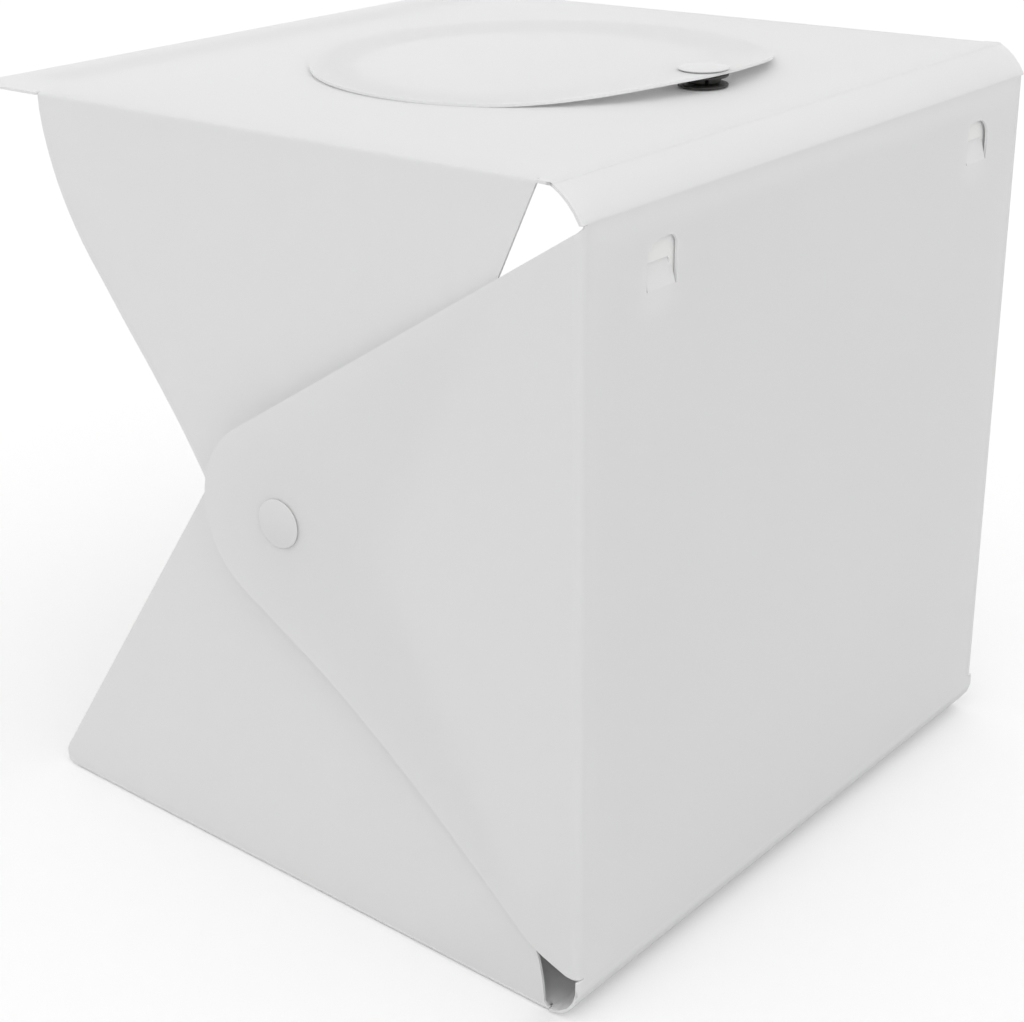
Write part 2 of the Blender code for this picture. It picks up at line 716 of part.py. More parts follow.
def stud_profile(shank):
    """A knob on a flange. With a shank it is solid and goes through its sheet; else a post fills it."""
    outside = [
        (KNOB_RADIUS - SNAP_CHAMFER, STUD_HEIGHT),
        (KNOB_RADIUS, STUD_HEIGHT - SNAP_CHAMFER),
        (KNOB_NECK, SNAP_FLANGE),
        (SNAP_FLANGE_RADIUS - SNAP_CHAMFER, SNAP_FLANGE),
        (SNAP_FLANGE_RADIUS, SNAP_FLANGE - SNAP_CHAMFER),
        (SNAP_FLANGE_RADIUS, 0),
    ]
    if shank:
        inside = [(POST_RADIUS, 0), (POST_RADIUS, -shank), (0, -shank)]
        return [(0, STUD_HEIGHT)] + outside + inside
    return outside + [(POST_HOLE, 0), (POST_HOLE, STUD_HEIGHT)]


def make_snap_meshes():
    """The shapes that the three snaps share. The socket's ring is slotted so that it can spring."""
    through = GAP + SHEET
    long_cap = turned("long_cap", cap_profile(through + GAP + SOCKET_WEB - GAP), False)
    short_cap = turned("short_cap", cap_profile(through), False)
    stud_cap = turned("stud_cap", cap_profile(through + GAP + STUD_HEIGHT - GAP), False)
    open_stud = turned("open_stud", stud_profile(0), True)
    shank_stud = turned("shank_stud", stud_profile(through), False)
    ring = turned("socket", socket_profile(), True)
    guide = bpy.data.objects.new("socket", ring)
    cutters.objects.link(guide)
    reach = SNAP_RING_RADIUS + OVERRUN
    half = SOCKET_SLOT / 2
    foot = SNAP_FLANGE + SNAP_CHAMFER
    slots = bmesh.new()
    for i in range(SOCKET_SLOTS):
        low = (KNOB_RADIUS - OVERRUN, -half, foot)
        slot = box_mesh(low, (reach, half, SOCKET_HEIGHT + OVERRUN))
        slot.transform(Matrix.Rotation(2 * math.pi * (i + 0.5) / SOCKET_SLOTS, 4, "Z"))
        slots.from_mesh(slot)
    slots_mesh = bpy.data.meshes.new("slots")
    slots.to_mesh(slots_mesh)
    slots.free()
    combine(guide, slots_mesh, "DIFFERENCE")
    bpy.context.view_layer.update()
    cut = to_mesh(guide)
    bpy.data.objects.remove(guide)
    return long_cap, short_cap, stud_cap, cut, open_stud, shank_stud


def make_side():
    """The three flaps and the snap of the right side, and their left-hand twins."""
    pieces = make_top_flap() + make_bottom_flap() + make_back_flap()
    bpy.context.view_layer.update()
    for piece in pieces:
        mirrored(piece, piece.name.replace("_right", "_left"))


def cover_height(away):
    """How far the cover's underside stands off the top, by the distance from its snap."""
    share = min(max((away - COVER_FLAT_RADIUS) / (COVER_REST_REACH - COVER_FLAT_RADIUS), 0), 1)
    past = max(away - COVER_REST_REACH, 0) / (COVER_REACH + COVER_RADIUS - COVER_REST_REACH)
    fall = (1 + math.cos(math.pi * share)) / 2
    return GAP + (COVER_LIFT - GAP) * fall + COVER_CURL * past * past


def make_cover():
    """A disc that one snap holds, so that it swings clear of the window."""
    rim = circle((0, -COVER_REACH), COVER_RADIUS, COVER_STEPS)
    hole = circle((0, 0), POST_HOLE, HOLE_STEPS)
    mesh = flat_sheet([rim, hole], SHEET)
    spread = [2 * i / COVER_SLICES - 1 for i in range(1, COVER_SLICES)]
    across = [COVER_RADIUS * share for share in spread]
    slice_mesh(mesh, Vector((1, 0, 0)), sorted(across + [-COVER_FLAT_RADIUS, COVER_FLAT_RADIUS]))
    along = [COVER_RADIUS * share - COVER_REACH for share in spread]
    slice_mesh(mesh, Vector((0, 1, 0)), sorted(along + [-COVER_FLAT_RADIUS]))
    for vertex in mesh.vertices:
        vertex.co.z += SHEET / 2 + cover_height(vertex.co.xy.length)
    cover = add_object("top_cover", mesh, polypropylene)
    snap = Vector((SHEET_SHIFT, COVER_SNAP_Y, HEIGHT))
    cover.matrix_world = Matrix.Translation(snap) @ Matrix.Rotation(COVER_SWING, 4, "Z")
    smooth(cover)
    cap = add_object("cover_snap_cap", long_cap_mesh, white_plastic)
    seat(cap, cover, Matrix.Translation((0, 0, COVER_LIFT + SHEET + GAP)))
    socket = add_object("cover_snap_socket", socket_mesh, black_plastic)
    seat(socket, cover, frame((0, 0, COVER_LIFT - GAP), (1, 0, 0), (0, 0, -1)))
    stud = add_object("cover_snap_stud", open_stud_mesh, black_plastic)
    stud.location = snap + Vector((0, 0, GAP))
    inner = add_object("cover_snap_inner_cap", stud_cap_mesh, white_plastic)
    inner.matrix_world = frame(snap - Vector((0, 0, SHEET + GAP)), (1, 0, 0), (0, 0, -1))


def make_light_bar():
    """A channel taped under the top's front lip, with its lamp board, inlet, button and cover."""
    half = BAR_LENGTH / 2
    tape = box_mesh(
        (-half + TAPE_MARGIN, BAR_FRONT + TAPE_MARGIN, BAR_TOP + GAP),
        (half - TAPE_MARGIN, BAR_REAR - TAPE_MARGIN, BAR_TOP + GAP + TAPE_THICKNESS),
    )
    add_object("led_tape", tape, foam_tape)

    box_end = -half + BOX_LENGTH
    profile = [
        (-half, BOX_FOOT + BAR_WALL + GAP),
        (box_end, BOX_FOOT + BAR_WALL + GAP),
        (box_end, BAR_FOOT),
        (half, BAR_FOOT),
        (half, BAR_TOP),
        (-half, BAR_TOP),
    ]
    mesh = flat_sheet([profile], BAR_WIDTH)
    housing = add_object("led_housing", mesh, black_plastic)
    housing.matrix_world = frame((0, BAR_MIDDLE, 0), (1, 0, 0), (0, -1, 0))
    inner_half = BAR_WIDTH / 2 - BAR_WALL
    channel = box_mesh(
        (-half + BAR_WALL, BAR_FOOT - OVERRUN, -inner_half),
        (half - BAR_WALL, BAR_TOP - BAR_WALL, inner_half),
    )
    combine(housing, channel, "DIFFERENCE")
    box_room = box_mesh(
        (-half + BAR_WALL, BOX_FOOT, -inner_half),
        (box_end - BAR_WALL, BAR_FOOT, inner_half),
    )
    combine(housing, box_room, "DIFFERENCE")
    port_half = INLET_WIDTH / 2 + GAP
    port = box_mesh(
        (-half - OVERRUN, BOARD_FOOT - 2 * GAP - INLET_HEIGHT, -port_half),
        (-half + 2 * BAR_WALL, BOARD_FOOT, port_half),
    )
    combine(housing, port, "DIFFERENCE")
    bore_profile = [
        (0, BAR_WALL + OVERRUN),
        (BUTTON_RADIUS + GAP, BAR_WALL + OVERRUN),
        (BUTTON_RADIUS + GAP, -OVERRUN),
        (0, -OVERRUN),
    ]
    bore = turned("button_bore", bore_profile, False)
    bore.transform(frame((BUTTON_X, BUTTON_Z, BAR_WIDTH / 2), (1, 0, 0), (0, 0, -1)))
    combine(housing, bore, "DIFFERENCE")

    length = BUTTON_PROUD + BAR_WALL + GAP
    button_profile = [
        (0, 0),
        (BUTTON_RADIUS - SNAP_CHAMFER, 0),
        (BUTTON_RADIUS, -SNAP_CHAMFER),
        (BUTTON_RADIUS, -length),
        (0, -length),
    ]
    button = add_object("led_button", turned("button", button_profile, False), white_plastic)
    button.matrix_world = frame(
        (BUTTON_X, BAR_FRONT - BUTTON_PROUD, BUTTON_Z), (1, 0, 0), (0, -1, 0)
    )

    cover = box_mesh(
        (-half, BAR_FRONT, BOX_FOOT),
        (box_end, BAR_REAR, BOX_FOOT + BAR_WALL),
    )
    add_object("led_box_cover", cover, black_plastic)
    make_lamp_board(half, box_end)
    make_inlet(half)


def make_lamp_board(half, box_end):
    """The board lies in the channel, with its lamps and the button's switch on its underside."""
    inside = BAR_WALL + GAP
    board = add_object(
        "led_board",
        box_mesh(
            (-half + inside, BAR_FRONT + inside, BOARD_FOOT),
            (half - inside, BAR_REAR - inside, BOARD_TOP),
        ),
        board_white,
    )
    middle = BOARD_FOOT + BOARD_THICKNESS / 2
    step = (half - inside - box_end) / LED_COUNT
    blocks = []
    for i in range(LED_COUNT):
        x = box_end + step * (i + 0.5)
        low = (x - LED_LENGTH / 2, BAR_MIDDLE - LED_WIDTH / 2, BOARD_FOOT - LED_HEIGHT)
        high = (x + LED_LENGTH / 2, BAR_MIDDLE + LED_WIDTH / 2, middle)
        blocks.append((low, high))
    face = BAR_FRONT + BAR_WALL + GAP + BUTTON_TRAVEL + GAP
    low = (BUTTON_X - SWITCH_SIZE / 2, face, BUTTON_Z - BUTTON_RADIUS)
    high = (BUTTON_X + SWITCH_SIZE / 2, face + SWITCH_SIZE, middle)
    blocks.append((low, high))
    combine(board, joined_mesh(blocks), "UNION")


def make_inlet(half):
    """The metal shell of the small power inlet at the bar's -X end."""
    top = BOARD_FOOT - GAP
    low = Vector((-half, BAR_MIDDLE - INLET_WIDTH / 2, top - INLET_HEIGHT))
    high = Vector((-half + INLET_DEPTH, BAR_MIDDLE + INLET_WIDTH / 2, top))
    inlet = add_object("led_inlet", box_mesh(low, high), inlet_metal)
    wall = Vector((INLET_WALL, INLET_WALL, INLET_WALL))
    mouth = box_mesh(low + wall - Vector((OVERRUN + INLET_WALL, 0, 0)), high - wall)
    combine(inlet, mouth, "DIFFERENCE")


def make_backdrop():
    """A sheet that hangs from the hooks, sweeps forward and lies on the bottom."""
    half = HALF_WIDTH - BACKDROP_MARGIN
    drop = BACKDROP_TOP - SHEET - GAP - BACKDROP_SHEET / 2 - BACKDROP_SWEEP
    run = BACKDROP_Y - BACKDROP_SWEEP + HALF_DEPTH - BACKDROP_FRONT
    length = drop + BACKDROP_SWEEP * math.pi / 2 + run
    outline = [(0, -half), (length, -half), (length, half), (0, half)]
    loops = [outline]
    hole_half = HOOK_WIDTH / 2 + BACKDROP_HOLE_SIDE
    for x in [-place for place in HOOK_PLACES]:
        top = BACKDROP_TOP - BACKDROP_HOLE_TOP
        foot = BACKDROP_TOP - BACKDROP_HOLE_FOOT
        corners = [
            (top, x - hole_half),
            (foot, x - hole_half),
            (foot, x + hole_half),
            (top, x + hole_half),
        ]
        radius = BACKDROP_HOLE_SIDE
        loops.append(rounded(corners, [radius, 2 * radius, 2 * radius, radius], 3))
    mesh = bent_sheet(
        loops, BACKDROP_SHEET, [(drop, BACKDROP_SWEEP, math.pi / 2)], SWEEP_STEPS
    )
    sheet = add_object("backdrop", mesh, backdrop_vinyl)
    sheet.matrix_world = frame((0, BACKDROP_Y, BACKDROP_TOP), (0, 0, -1), (0, 1, 0))
    smooth(sheet)


clear_scene()
parts = make_collection("light_tent_cube")
cutters = make_collection("cutters")
cutters.hide_render = True
polypropylene = make_material("frosted_polypropylene", (0.82, 0.82, 0.82), 0.5)
white_plastic = make_material("white_acetal", (0.86, 0.86, 0.86), 0.35)
black_plastic = make_material("black_acetal", (0.035, 0.034, 0.033), 0.4)
foam_tape = make_material("foam_tape", (0.75, 0.75, 0.73), 0.9)
board_white = make_material("lamp_board", (0.8, 0.8, 0.78), 0.45)
inlet_metal = make_material("plated_steel", (0.6, 0.6, 0.62), 0.3, 1.0)
backdrop_vinyl = make_material("backdrop_vinyl", (0.85, 0.85, 0.85), 0.6)
(
    long_cap_mesh,
    short_cap_mesh,
    stud_cap_mesh,
    socket_mesh,
    open_stud_mesh,
    shank_stud_mesh,
) = make_snap_meshes()
make_panels()
make_side()
make_cover()
make_light_bar()
make_backdrop()
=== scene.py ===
"""The looks of a folding light tent cube: its frosted sheet, snaps, light bar and backdrop."""

import json
import math

import bmesh
import bpy
from bpy.props import FloatProperty, FloatVectorProperty, IntProperty, PointerProperty
from mathutils import Matrix, Vector


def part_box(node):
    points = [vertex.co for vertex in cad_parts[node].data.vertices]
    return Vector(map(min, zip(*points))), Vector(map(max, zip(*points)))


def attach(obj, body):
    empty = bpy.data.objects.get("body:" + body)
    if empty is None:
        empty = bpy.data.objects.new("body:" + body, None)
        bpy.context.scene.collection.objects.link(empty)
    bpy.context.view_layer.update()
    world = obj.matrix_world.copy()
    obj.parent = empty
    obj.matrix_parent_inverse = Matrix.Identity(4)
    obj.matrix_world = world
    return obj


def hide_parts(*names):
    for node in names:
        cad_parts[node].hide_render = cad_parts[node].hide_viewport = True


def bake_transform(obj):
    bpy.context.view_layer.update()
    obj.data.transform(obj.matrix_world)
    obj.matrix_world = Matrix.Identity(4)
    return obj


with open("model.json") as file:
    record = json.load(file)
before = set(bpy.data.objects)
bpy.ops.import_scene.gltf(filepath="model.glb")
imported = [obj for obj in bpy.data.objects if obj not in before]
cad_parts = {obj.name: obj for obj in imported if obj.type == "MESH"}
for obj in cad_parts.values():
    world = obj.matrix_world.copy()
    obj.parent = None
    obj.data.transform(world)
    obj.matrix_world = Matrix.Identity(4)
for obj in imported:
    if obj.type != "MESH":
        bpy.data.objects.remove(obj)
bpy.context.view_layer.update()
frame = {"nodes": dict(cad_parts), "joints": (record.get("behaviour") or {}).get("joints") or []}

bl_info = {
    "name": "Light Tent Cube",
    "version": (1, 0, 0),
    "blender": (4, 5, 0),
    "location": "3D View > Sidebar > Light Tent",
    "description": "Dresses the packed model of a folding light tent cube",
    "category": "Object",
}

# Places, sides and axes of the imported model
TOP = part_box("top_panel")[1].z
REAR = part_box("back_panel")[1].y
BACK_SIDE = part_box("back_panel")[1].x
SIDES = (("right", 1), ("left", -1))
X, Y, Z = Vector((1, 0, 0)), Vector((0, 1, 0)), Vector((0, 0, 1))

# Points within a micrometre of each other count as one, and faces that meet at more than the sharp
# angle keep their edge. Then the steps of a whole turn and of a softened edge
MICROMETRE = 0.000001
MICROMETRE_DIGITS = 6
SHARP_ANGLE = math.radians(40)
TURN_STEPS = 72
BEVEL_STEPS = 2

# Bends of the sheet beside a cut: their outer radius and how far they turn. FLAT's radius does nothing
CREASE_RADIUS = 0.0012
BACK_FOLD_RADIUS = 0.0025
FLAT = (1.0, 0.0)
LOW_CREASE = (CREASE_RADIUS, math.radians(8))
HIGH_CREASE = (CREASE_RADIUS, math.radians(28))
FLAP_CREASE = (CREASE_RADIUS, math.radians(90))
BACK_FOLD = (BACK_FOLD_RADIUS, math.radians(90))
TOP_FLAP_TILT = math.radians(1)

# Fold lines: the most they bend in one step, their steps from end to end, and how far behind the
# bottom flap's front, past its rounded corner, its line starts
BEND_STEP = math.radians(8)
FOLD_STEPS = 12
BOTTOM_CORNER = 0.0045

# The round cover hangs a little turned about its snap, as in the photograph
COVER_TURN = math.radians(-5.2)
COVER_RINGS = 48
COVER_STEPS = 160

# Press snaps: radii, and heights over the face that a moulding lies on. A pair is a radius and a
# height, but for an edge, foot, root or tip it is a step in or out from a radius and one up or down
AXIS_RADIUS = 0.00002
SNAP_BORE = 0.0016
SNAP_POST = 0.0013
FLANGE_HEIGHT = 0.0008
FLANGE_EDGE = (0.0003, 0.0002)
STUD_HEIGHT = 0.0017
STUD_FACE = (
    (0.0060, 0.00074),
    (0.0024, FLANGE_HEIGHT),
    (0.0023, 0.0010),
    (0.0026, 0.0013),
    (0.0026, 0.0015),
    (0.0024, STUD_HEIGHT),
)
COLLAR_HEIGHT = 0.0011
DISH_FLOOR = 0.0007
SPRING_INNER = 0.0029
SPRING_OUTER = 0.0052
SPRING_FOOT = 0.0006
SPRING_SHOULDER = 0.0021
SPRING_HEIGHT = 0.0025
SOCKET_FACE = (
    (0.0062, 0.00074),
    (SPRING_OUTER, DISH_FLOOR),
    (SPRING_INNER, DISH_FLOOR),
    (SPRING_INNER, COLLAR_HEIGHT),
    (SNAP_BORE, COLLAR_HEIGHT),
)
SPRING = (
    (SPRING_INNER, SPRING_FOOT),
    (SPRING_OUTER, SPRING_FOOT),
    (SPRING_OUTER, SPRING_SHOULDER),
    (0.0050, 0.0024),
    (0.0047, SPRING_HEIGHT),
    (0.0034, SPRING_HEIGHT),
    (0.0031, 0.0023),
    (SPRING_INNER, SPRING_SHOULDER),
)
SPRING_SLOTS = 4
SLOT_WIDTH = 0.0009
SLOT_RADIUS = 0.004
CAP_RIM = 0.0005
CAP_SHOULDER_SHARE = 0.6
CAP_FEET = ((0.0001, 0.00012), (0.0003, 0.0))
CROWN_STEPS = 10
SHOULDER_STEPS = 6
POST_ROOT = (0.0004, 0.0003)
POST_TIP = (0.0003, 0.0002)

# Lamp board: a triple is length, width and height, and the gel's pairs are a radius and a height
# over its lamp's face, which looks down
BOARD_THICK = 0.0010
END_BOX = 0.020
FINE_BEVEL = 0.0001
LAMP_HEIGHT = 0.0005
LAMP_BEVEL = 0.00015
GEL = (
    (AXIS_RADIUS, 0.0001),
    (0.0011, 0.0001),
    (0.0011, -0.00005),
    (0.0010, -0.0001),
    (AXIS_RADIUS, -0.0001),
)
GEL_STEPS = 32
LAMPS_TO_RESISTOR = 3
RESISTOR = (0.0016, 0.0008, 0.0004)
RESISTOR_END = (0.0006, 0.0009, 0.00045)
RESISTOR_END_OUT = 0.00095
SWITCH_SIZE = 0.0036
SWITCH_FROM_FRONT = 0.0019
SWITCH_BEVEL = 0.0002

# Power inlet: its shell, its tongue and the contacts under that, about the inlet's middle
INLET_WALL = 0.0004
TONGUE_INSET = 0.0008
TONGUE_HALF = 0.0022
TONGUE_UNDER = 0.0003
TONGUE_OVER = 0.0004
TONGUE_BEVEL = 0.00008
CONTACTS = 5
CONTACT_PITCH = 0.00075
CONTACT_HALF = 0.0002
CONTACT_INSETS = (0.0009, 0.0010)
CONTACT_UNDER = (0.0004, 0.00025)
CONTACT_BEVEL = 0.00003

# Button: how far inside its radius, and how far under its tip, its rounded edge runs
BUTTON_EDGE = ((0.0004, 0.00003), (0.0001, 0.00014), (0.0, 0.0004))
BUTTON_STEPS = 48

# Backdrop: its cells across each half, down to the sweep, round it and along the bottom, the room
# that columns leave beside a hole, the steps of a hole's round corner, and how sharply its sides curl
HALF_CELLS = 14
HUNG_CELLS = 12
SWEPT_CELLS = 48
LAID_CELLS = 12
HOLE_MARGIN = 0.001
CORNER_STEPS = 4
CURL_POWER = 8

# Finishes: the detail of the noise in their patches and their grain, how strongly the grain stands
# out, the shares of light that the sheets pass on, and a Mix node's two colours and its result
PATCH_DETAIL = 3.0
GRAIN_DETAIL = 2.0
GRAIN_STRENGTH = 0.5
SHEET_LIGHT_SHARE = 0.2
COVER_LIGHT_SHARE = 0.28
MIX_FIRST, MIX_SECOND, MIX_RESULT = 6, 7, 2

# Stage: a floor just under the fold lines, one broad light, and a room as it lights and as it is seen
FLOOR_REACH = 6.0
FLOOR_DEPTH = 0.0004
FLOOR_ROUGHNESS = 0.9
FLOOR_GLOW = 0.08
LIGHT_FROM = (0.478, 0.393, 0.787)
LIGHT_SPREAD = math.radians(70)
LIGHT_STRENGTH = 0.35
ROOM_LIGHT = 0.86
ROOM_SEEN = 1.0

# Camera, fitted to marks on the tent: the photograph's size, focal length and middle in its pixels,
# and the lens's place and turns. The sensor's width is in millimetres
PHOTO_WIDTH = 1024
PHOTO_HEIGHT = 1022
PHOTO_FOCAL = 1916.56
PHOTO_MIDDLE = (409.6, 439.3)
CAMERA_PLACE = (0.47077, 0.38684, 0.34861)
CAMERA_AZIMUTH = math.radians(132.59)
CAMERA_ELEVATION = math.radians(21.14)
CAMERA_ROLL = math.radians(-1.68)
CAMERA_NEAR = 0.01
SENSOR_WIDTH = 36


def linear(code):
    """An sRGB hex colour as linear red, green and blue."""
    channels = [int(code[i : i + 2], 16) / 255 for i in (1, 3, 5)]
    return tuple(c / 12.92 if c <= 0.04045 else ((c + 0.055) / 1.055) ** 2.4 for c in channels)


def length_property(name, description, default):
    return FloatProperty(
        name=name, description=description, default=default, min=0, unit="LENGTH", precision=5
    )


def colour_property(name, description, code):
    return FloatVectorProperty(
        name=name, description=description, default=linear(code), size=3, min=0, max=1, subtype="COLOR"
    )


class TentSizes(bpy.types.PropertyGroup):
    """Lengths of the pieces, in metres."""

    sheet: length_property("Sheet", "Thickness of the tent's sheet", 0.0008)
    gap: length_property("Cut", "Width of a fold's cut, and the play between a snap's pieces", 0.0003)
    fold_proud: length_property("Fold height", "How far a fold line stands off its sheets", 0.00002)
    fold_overlap: length_property("Fold overlap", "How far a fold line runs over its sheets", 0.0008)
    snap_radius: length_property("Snap cap", "Radius of a snap's caps", 0.0075)
    snap_height: length_property("Snap cap height", "Height of a snap's caps", 0.0013)
    snap_flange: length_property("Snap flange", "Radius of a snap's socket and stud", 0.0074)
    cover_radius: length_property("Cover", "Radius of the round cover", 0.073)
    cover_reach: length_property("Cover reach", "From the cover's snap to its middle", 0.066)
    cover_flat: length_property("Cover flat", "Radius of the cover's flat seat round its snap", 0.0095)
    cover_rest: length_property("Cover rest", "How far from its snap the cover comes down", 0.072)
    cover_seat: length_property("Cover seat", "Gap under the cover where it comes down", 0.00005)
    cover_lift: length_property("Cover lift", "How high the snap holds the cover off the top", 0.0042)
    cover_curl: length_property("Cover curl", "How far the cover's far rim curls up", 0.0012)
    backdrop_sheet: length_property("Backdrop sheet", "Thickness of the backdrop", 0.0004)
    backdrop_sweep: length_property("Backdrop sweep", "Radius at which the backdrop turns forward", 0.080)
    backdrop_curl: length_property("Backdrop curl", "How far the backdrop's sides curl forward", 0.002)
    hook_from_edge: length_property("Hook", "From the side of the back to a hook's middle", 0.0315)
    hole_width: length_property("Hole width", "Width of a hole that hangs on a hook", 0.014)
    hole_height: length_property("Hole height", "Height of a hole that hangs on a hook", 0.013445)
    hole_from_top: length_property("Hole from top", "From the backdrop's top to a hole", 0.0095)
    hole_round: length_property("Hole round", "Radius of a hole's upper corners", 0.001)
    lamp_length: length_property("Lamp length", "Length of one lamp on the board", 0.0035)
    lamp_width: length_property("Lamp width", "Width of one lamp on the board", 0.0028)
    lamps: IntProperty(name="Lamps", description="Lamps along the board", default=20, min=1, max=60)


class TentColours(bpy.types.PropertyGroup):
    """Colours of the finishes."""

    sheet: colour_property("Sheet", "Frosted polypropylene", "#F9F9F9")
    cover: colour_property("Cover", "Frosted polypropylene, lit from both faces", "#FBFBFB")
    through: colour_property("Light through", "Light that has come through the sheet", "#FBFBFB")
    fold: colour_property("Fold line", "Polypropylene pressed thin", "#F9F9F9")
    cap: colour_property("Snap cap", "White acetal", "#E7E7E7")
    dark: colour_property("Dark mouldings", "Black acetal", "#353432")
    tape: colour_property("Tape", "White foam tape", "#E2E1DC")
    board: colour_property("Board", "White lacquered board", "#ECEBE4")
    lamp: colour_property("Lamp", "Yellow face of a lamp", "#E3B944")
    lamp_case: colour_property("Lamp case", "White case of a lamp", "#E8E6DF")
    metal: colour_property("Plated steel", "Shell of the inlet", "#B9BABC")
    gold: colour_property("Contacts", "Gilded contacts of the inlet", "#D8B45A")
    backdrop: colour_property("Backdrop", "Matt white vinyl", "#F6F6F5")
    floor: colour_property("Floor", "Floor as the camera sees it", "#FFFFFF")
    floor_light: colour_property("Floor light", "Floor as it lights the tent", "#D6D6D6")


def add_node(tree, kind, settings=(), links=()):
    """Adds a node. A setting names a socket or an attribute, and a link names a socket and a source."""
    node = tree.nodes.new(kind)
    for key, value in dict(settings).items():
        if isinstance(key, int) or key in node.inputs:
            node.inputs[key].default_value = value
        else:
            setattr(node, key, value)
    for key, source in dict(links).items():
        tree.links.new(source, node.inputs[key])
    return node


def new_material(name):
    material = bpy.data.materials.new(name)
    material.use_nodes = True
    return material, material.node_tree, material.node_tree.nodes["Principled BSDF"]


def shaded(colour, amount=0.0):
    """A colour made lighter or darker by a share, with its alpha."""
    return (*[min(c * (1 + amount), 1.0) for c in colour], 1.0)


def mottled(name, colour, spread, patch, grain, depth, roughness, rough_spread, **sockets):
    """A surface whose tone drifts over patches, with a fine grain pressed into it.

    patch and grain are real sizes in metres, and depth is how deep the grain is.
    """
    material, tree, shader = new_material(name)
    place = add_node(tree, "ShaderNodeTexCoord").outputs["Object"]
    drift = add_node(
        tree, "ShaderNodeTexNoise", {"Scale": 1 / patch, "Detail": PATCH_DETAIL}, {"Vector": place}
    )
    tone = add_node(
        tree,
        "ShaderNodeMix",
        {"data_type": "RGBA", MIX_FIRST: shaded(colour, -spread), MIX_SECOND: shaded(colour, spread)},
        {"Factor": drift.outputs["Fac"]},
    )
    tree.links.new(tone.outputs[MIX_RESULT], shader.inputs["Base Color"])
    fine = add_node(
        tree, "ShaderNodeTexNoise", {"Scale": 1 / grain, "Detail": GRAIN_DETAIL}, {"Vector": place}
    )
    polish = add_node(
        tree,
        "ShaderNodeMapRange",
        {"To Min": roughness - rough_spread, "To Max": roughness + rough_spread},
        {"Value": fine.outputs["Fac"]},
    )
    tree.links.new(polish.outputs["Result"], shader.inputs["Roughness"])
    bump = add_node(
        tree,
        "ShaderNodeBump",
        {"Strength": GRAIN_STRENGTH, "Distance": depth},
        {"Height": fine.outputs["Fac"]},
    )
    tree.links.new(bump.outputs["Normal"], shader.inputs["Normal"])
    for socket, value in sockets.items():
        shader.inputs[socket.replace("_", " ")].default_value = value
    return material


def let_light_through(material, share):
    """Passes a share of the light on through the sheet, softly spread."""
    tree = material.node_tree
    face = tree.nodes["Principled BSDF"].outputs["BSDF"]
    colour = shaded(bpy.context.scene.tent_colours.through)
    behind = add_node(tree, "ShaderNodeBsdfTranslucent", {"Color": colour})
    both = add_node(tree, "ShaderNodeMixShader", {"Fac": share}, {1: face, 2: behind.outputs["BSDF"]})
    tree.links.new(both.outputs["Shader"], tree.nodes["Material Output"].inputs["Surface"])


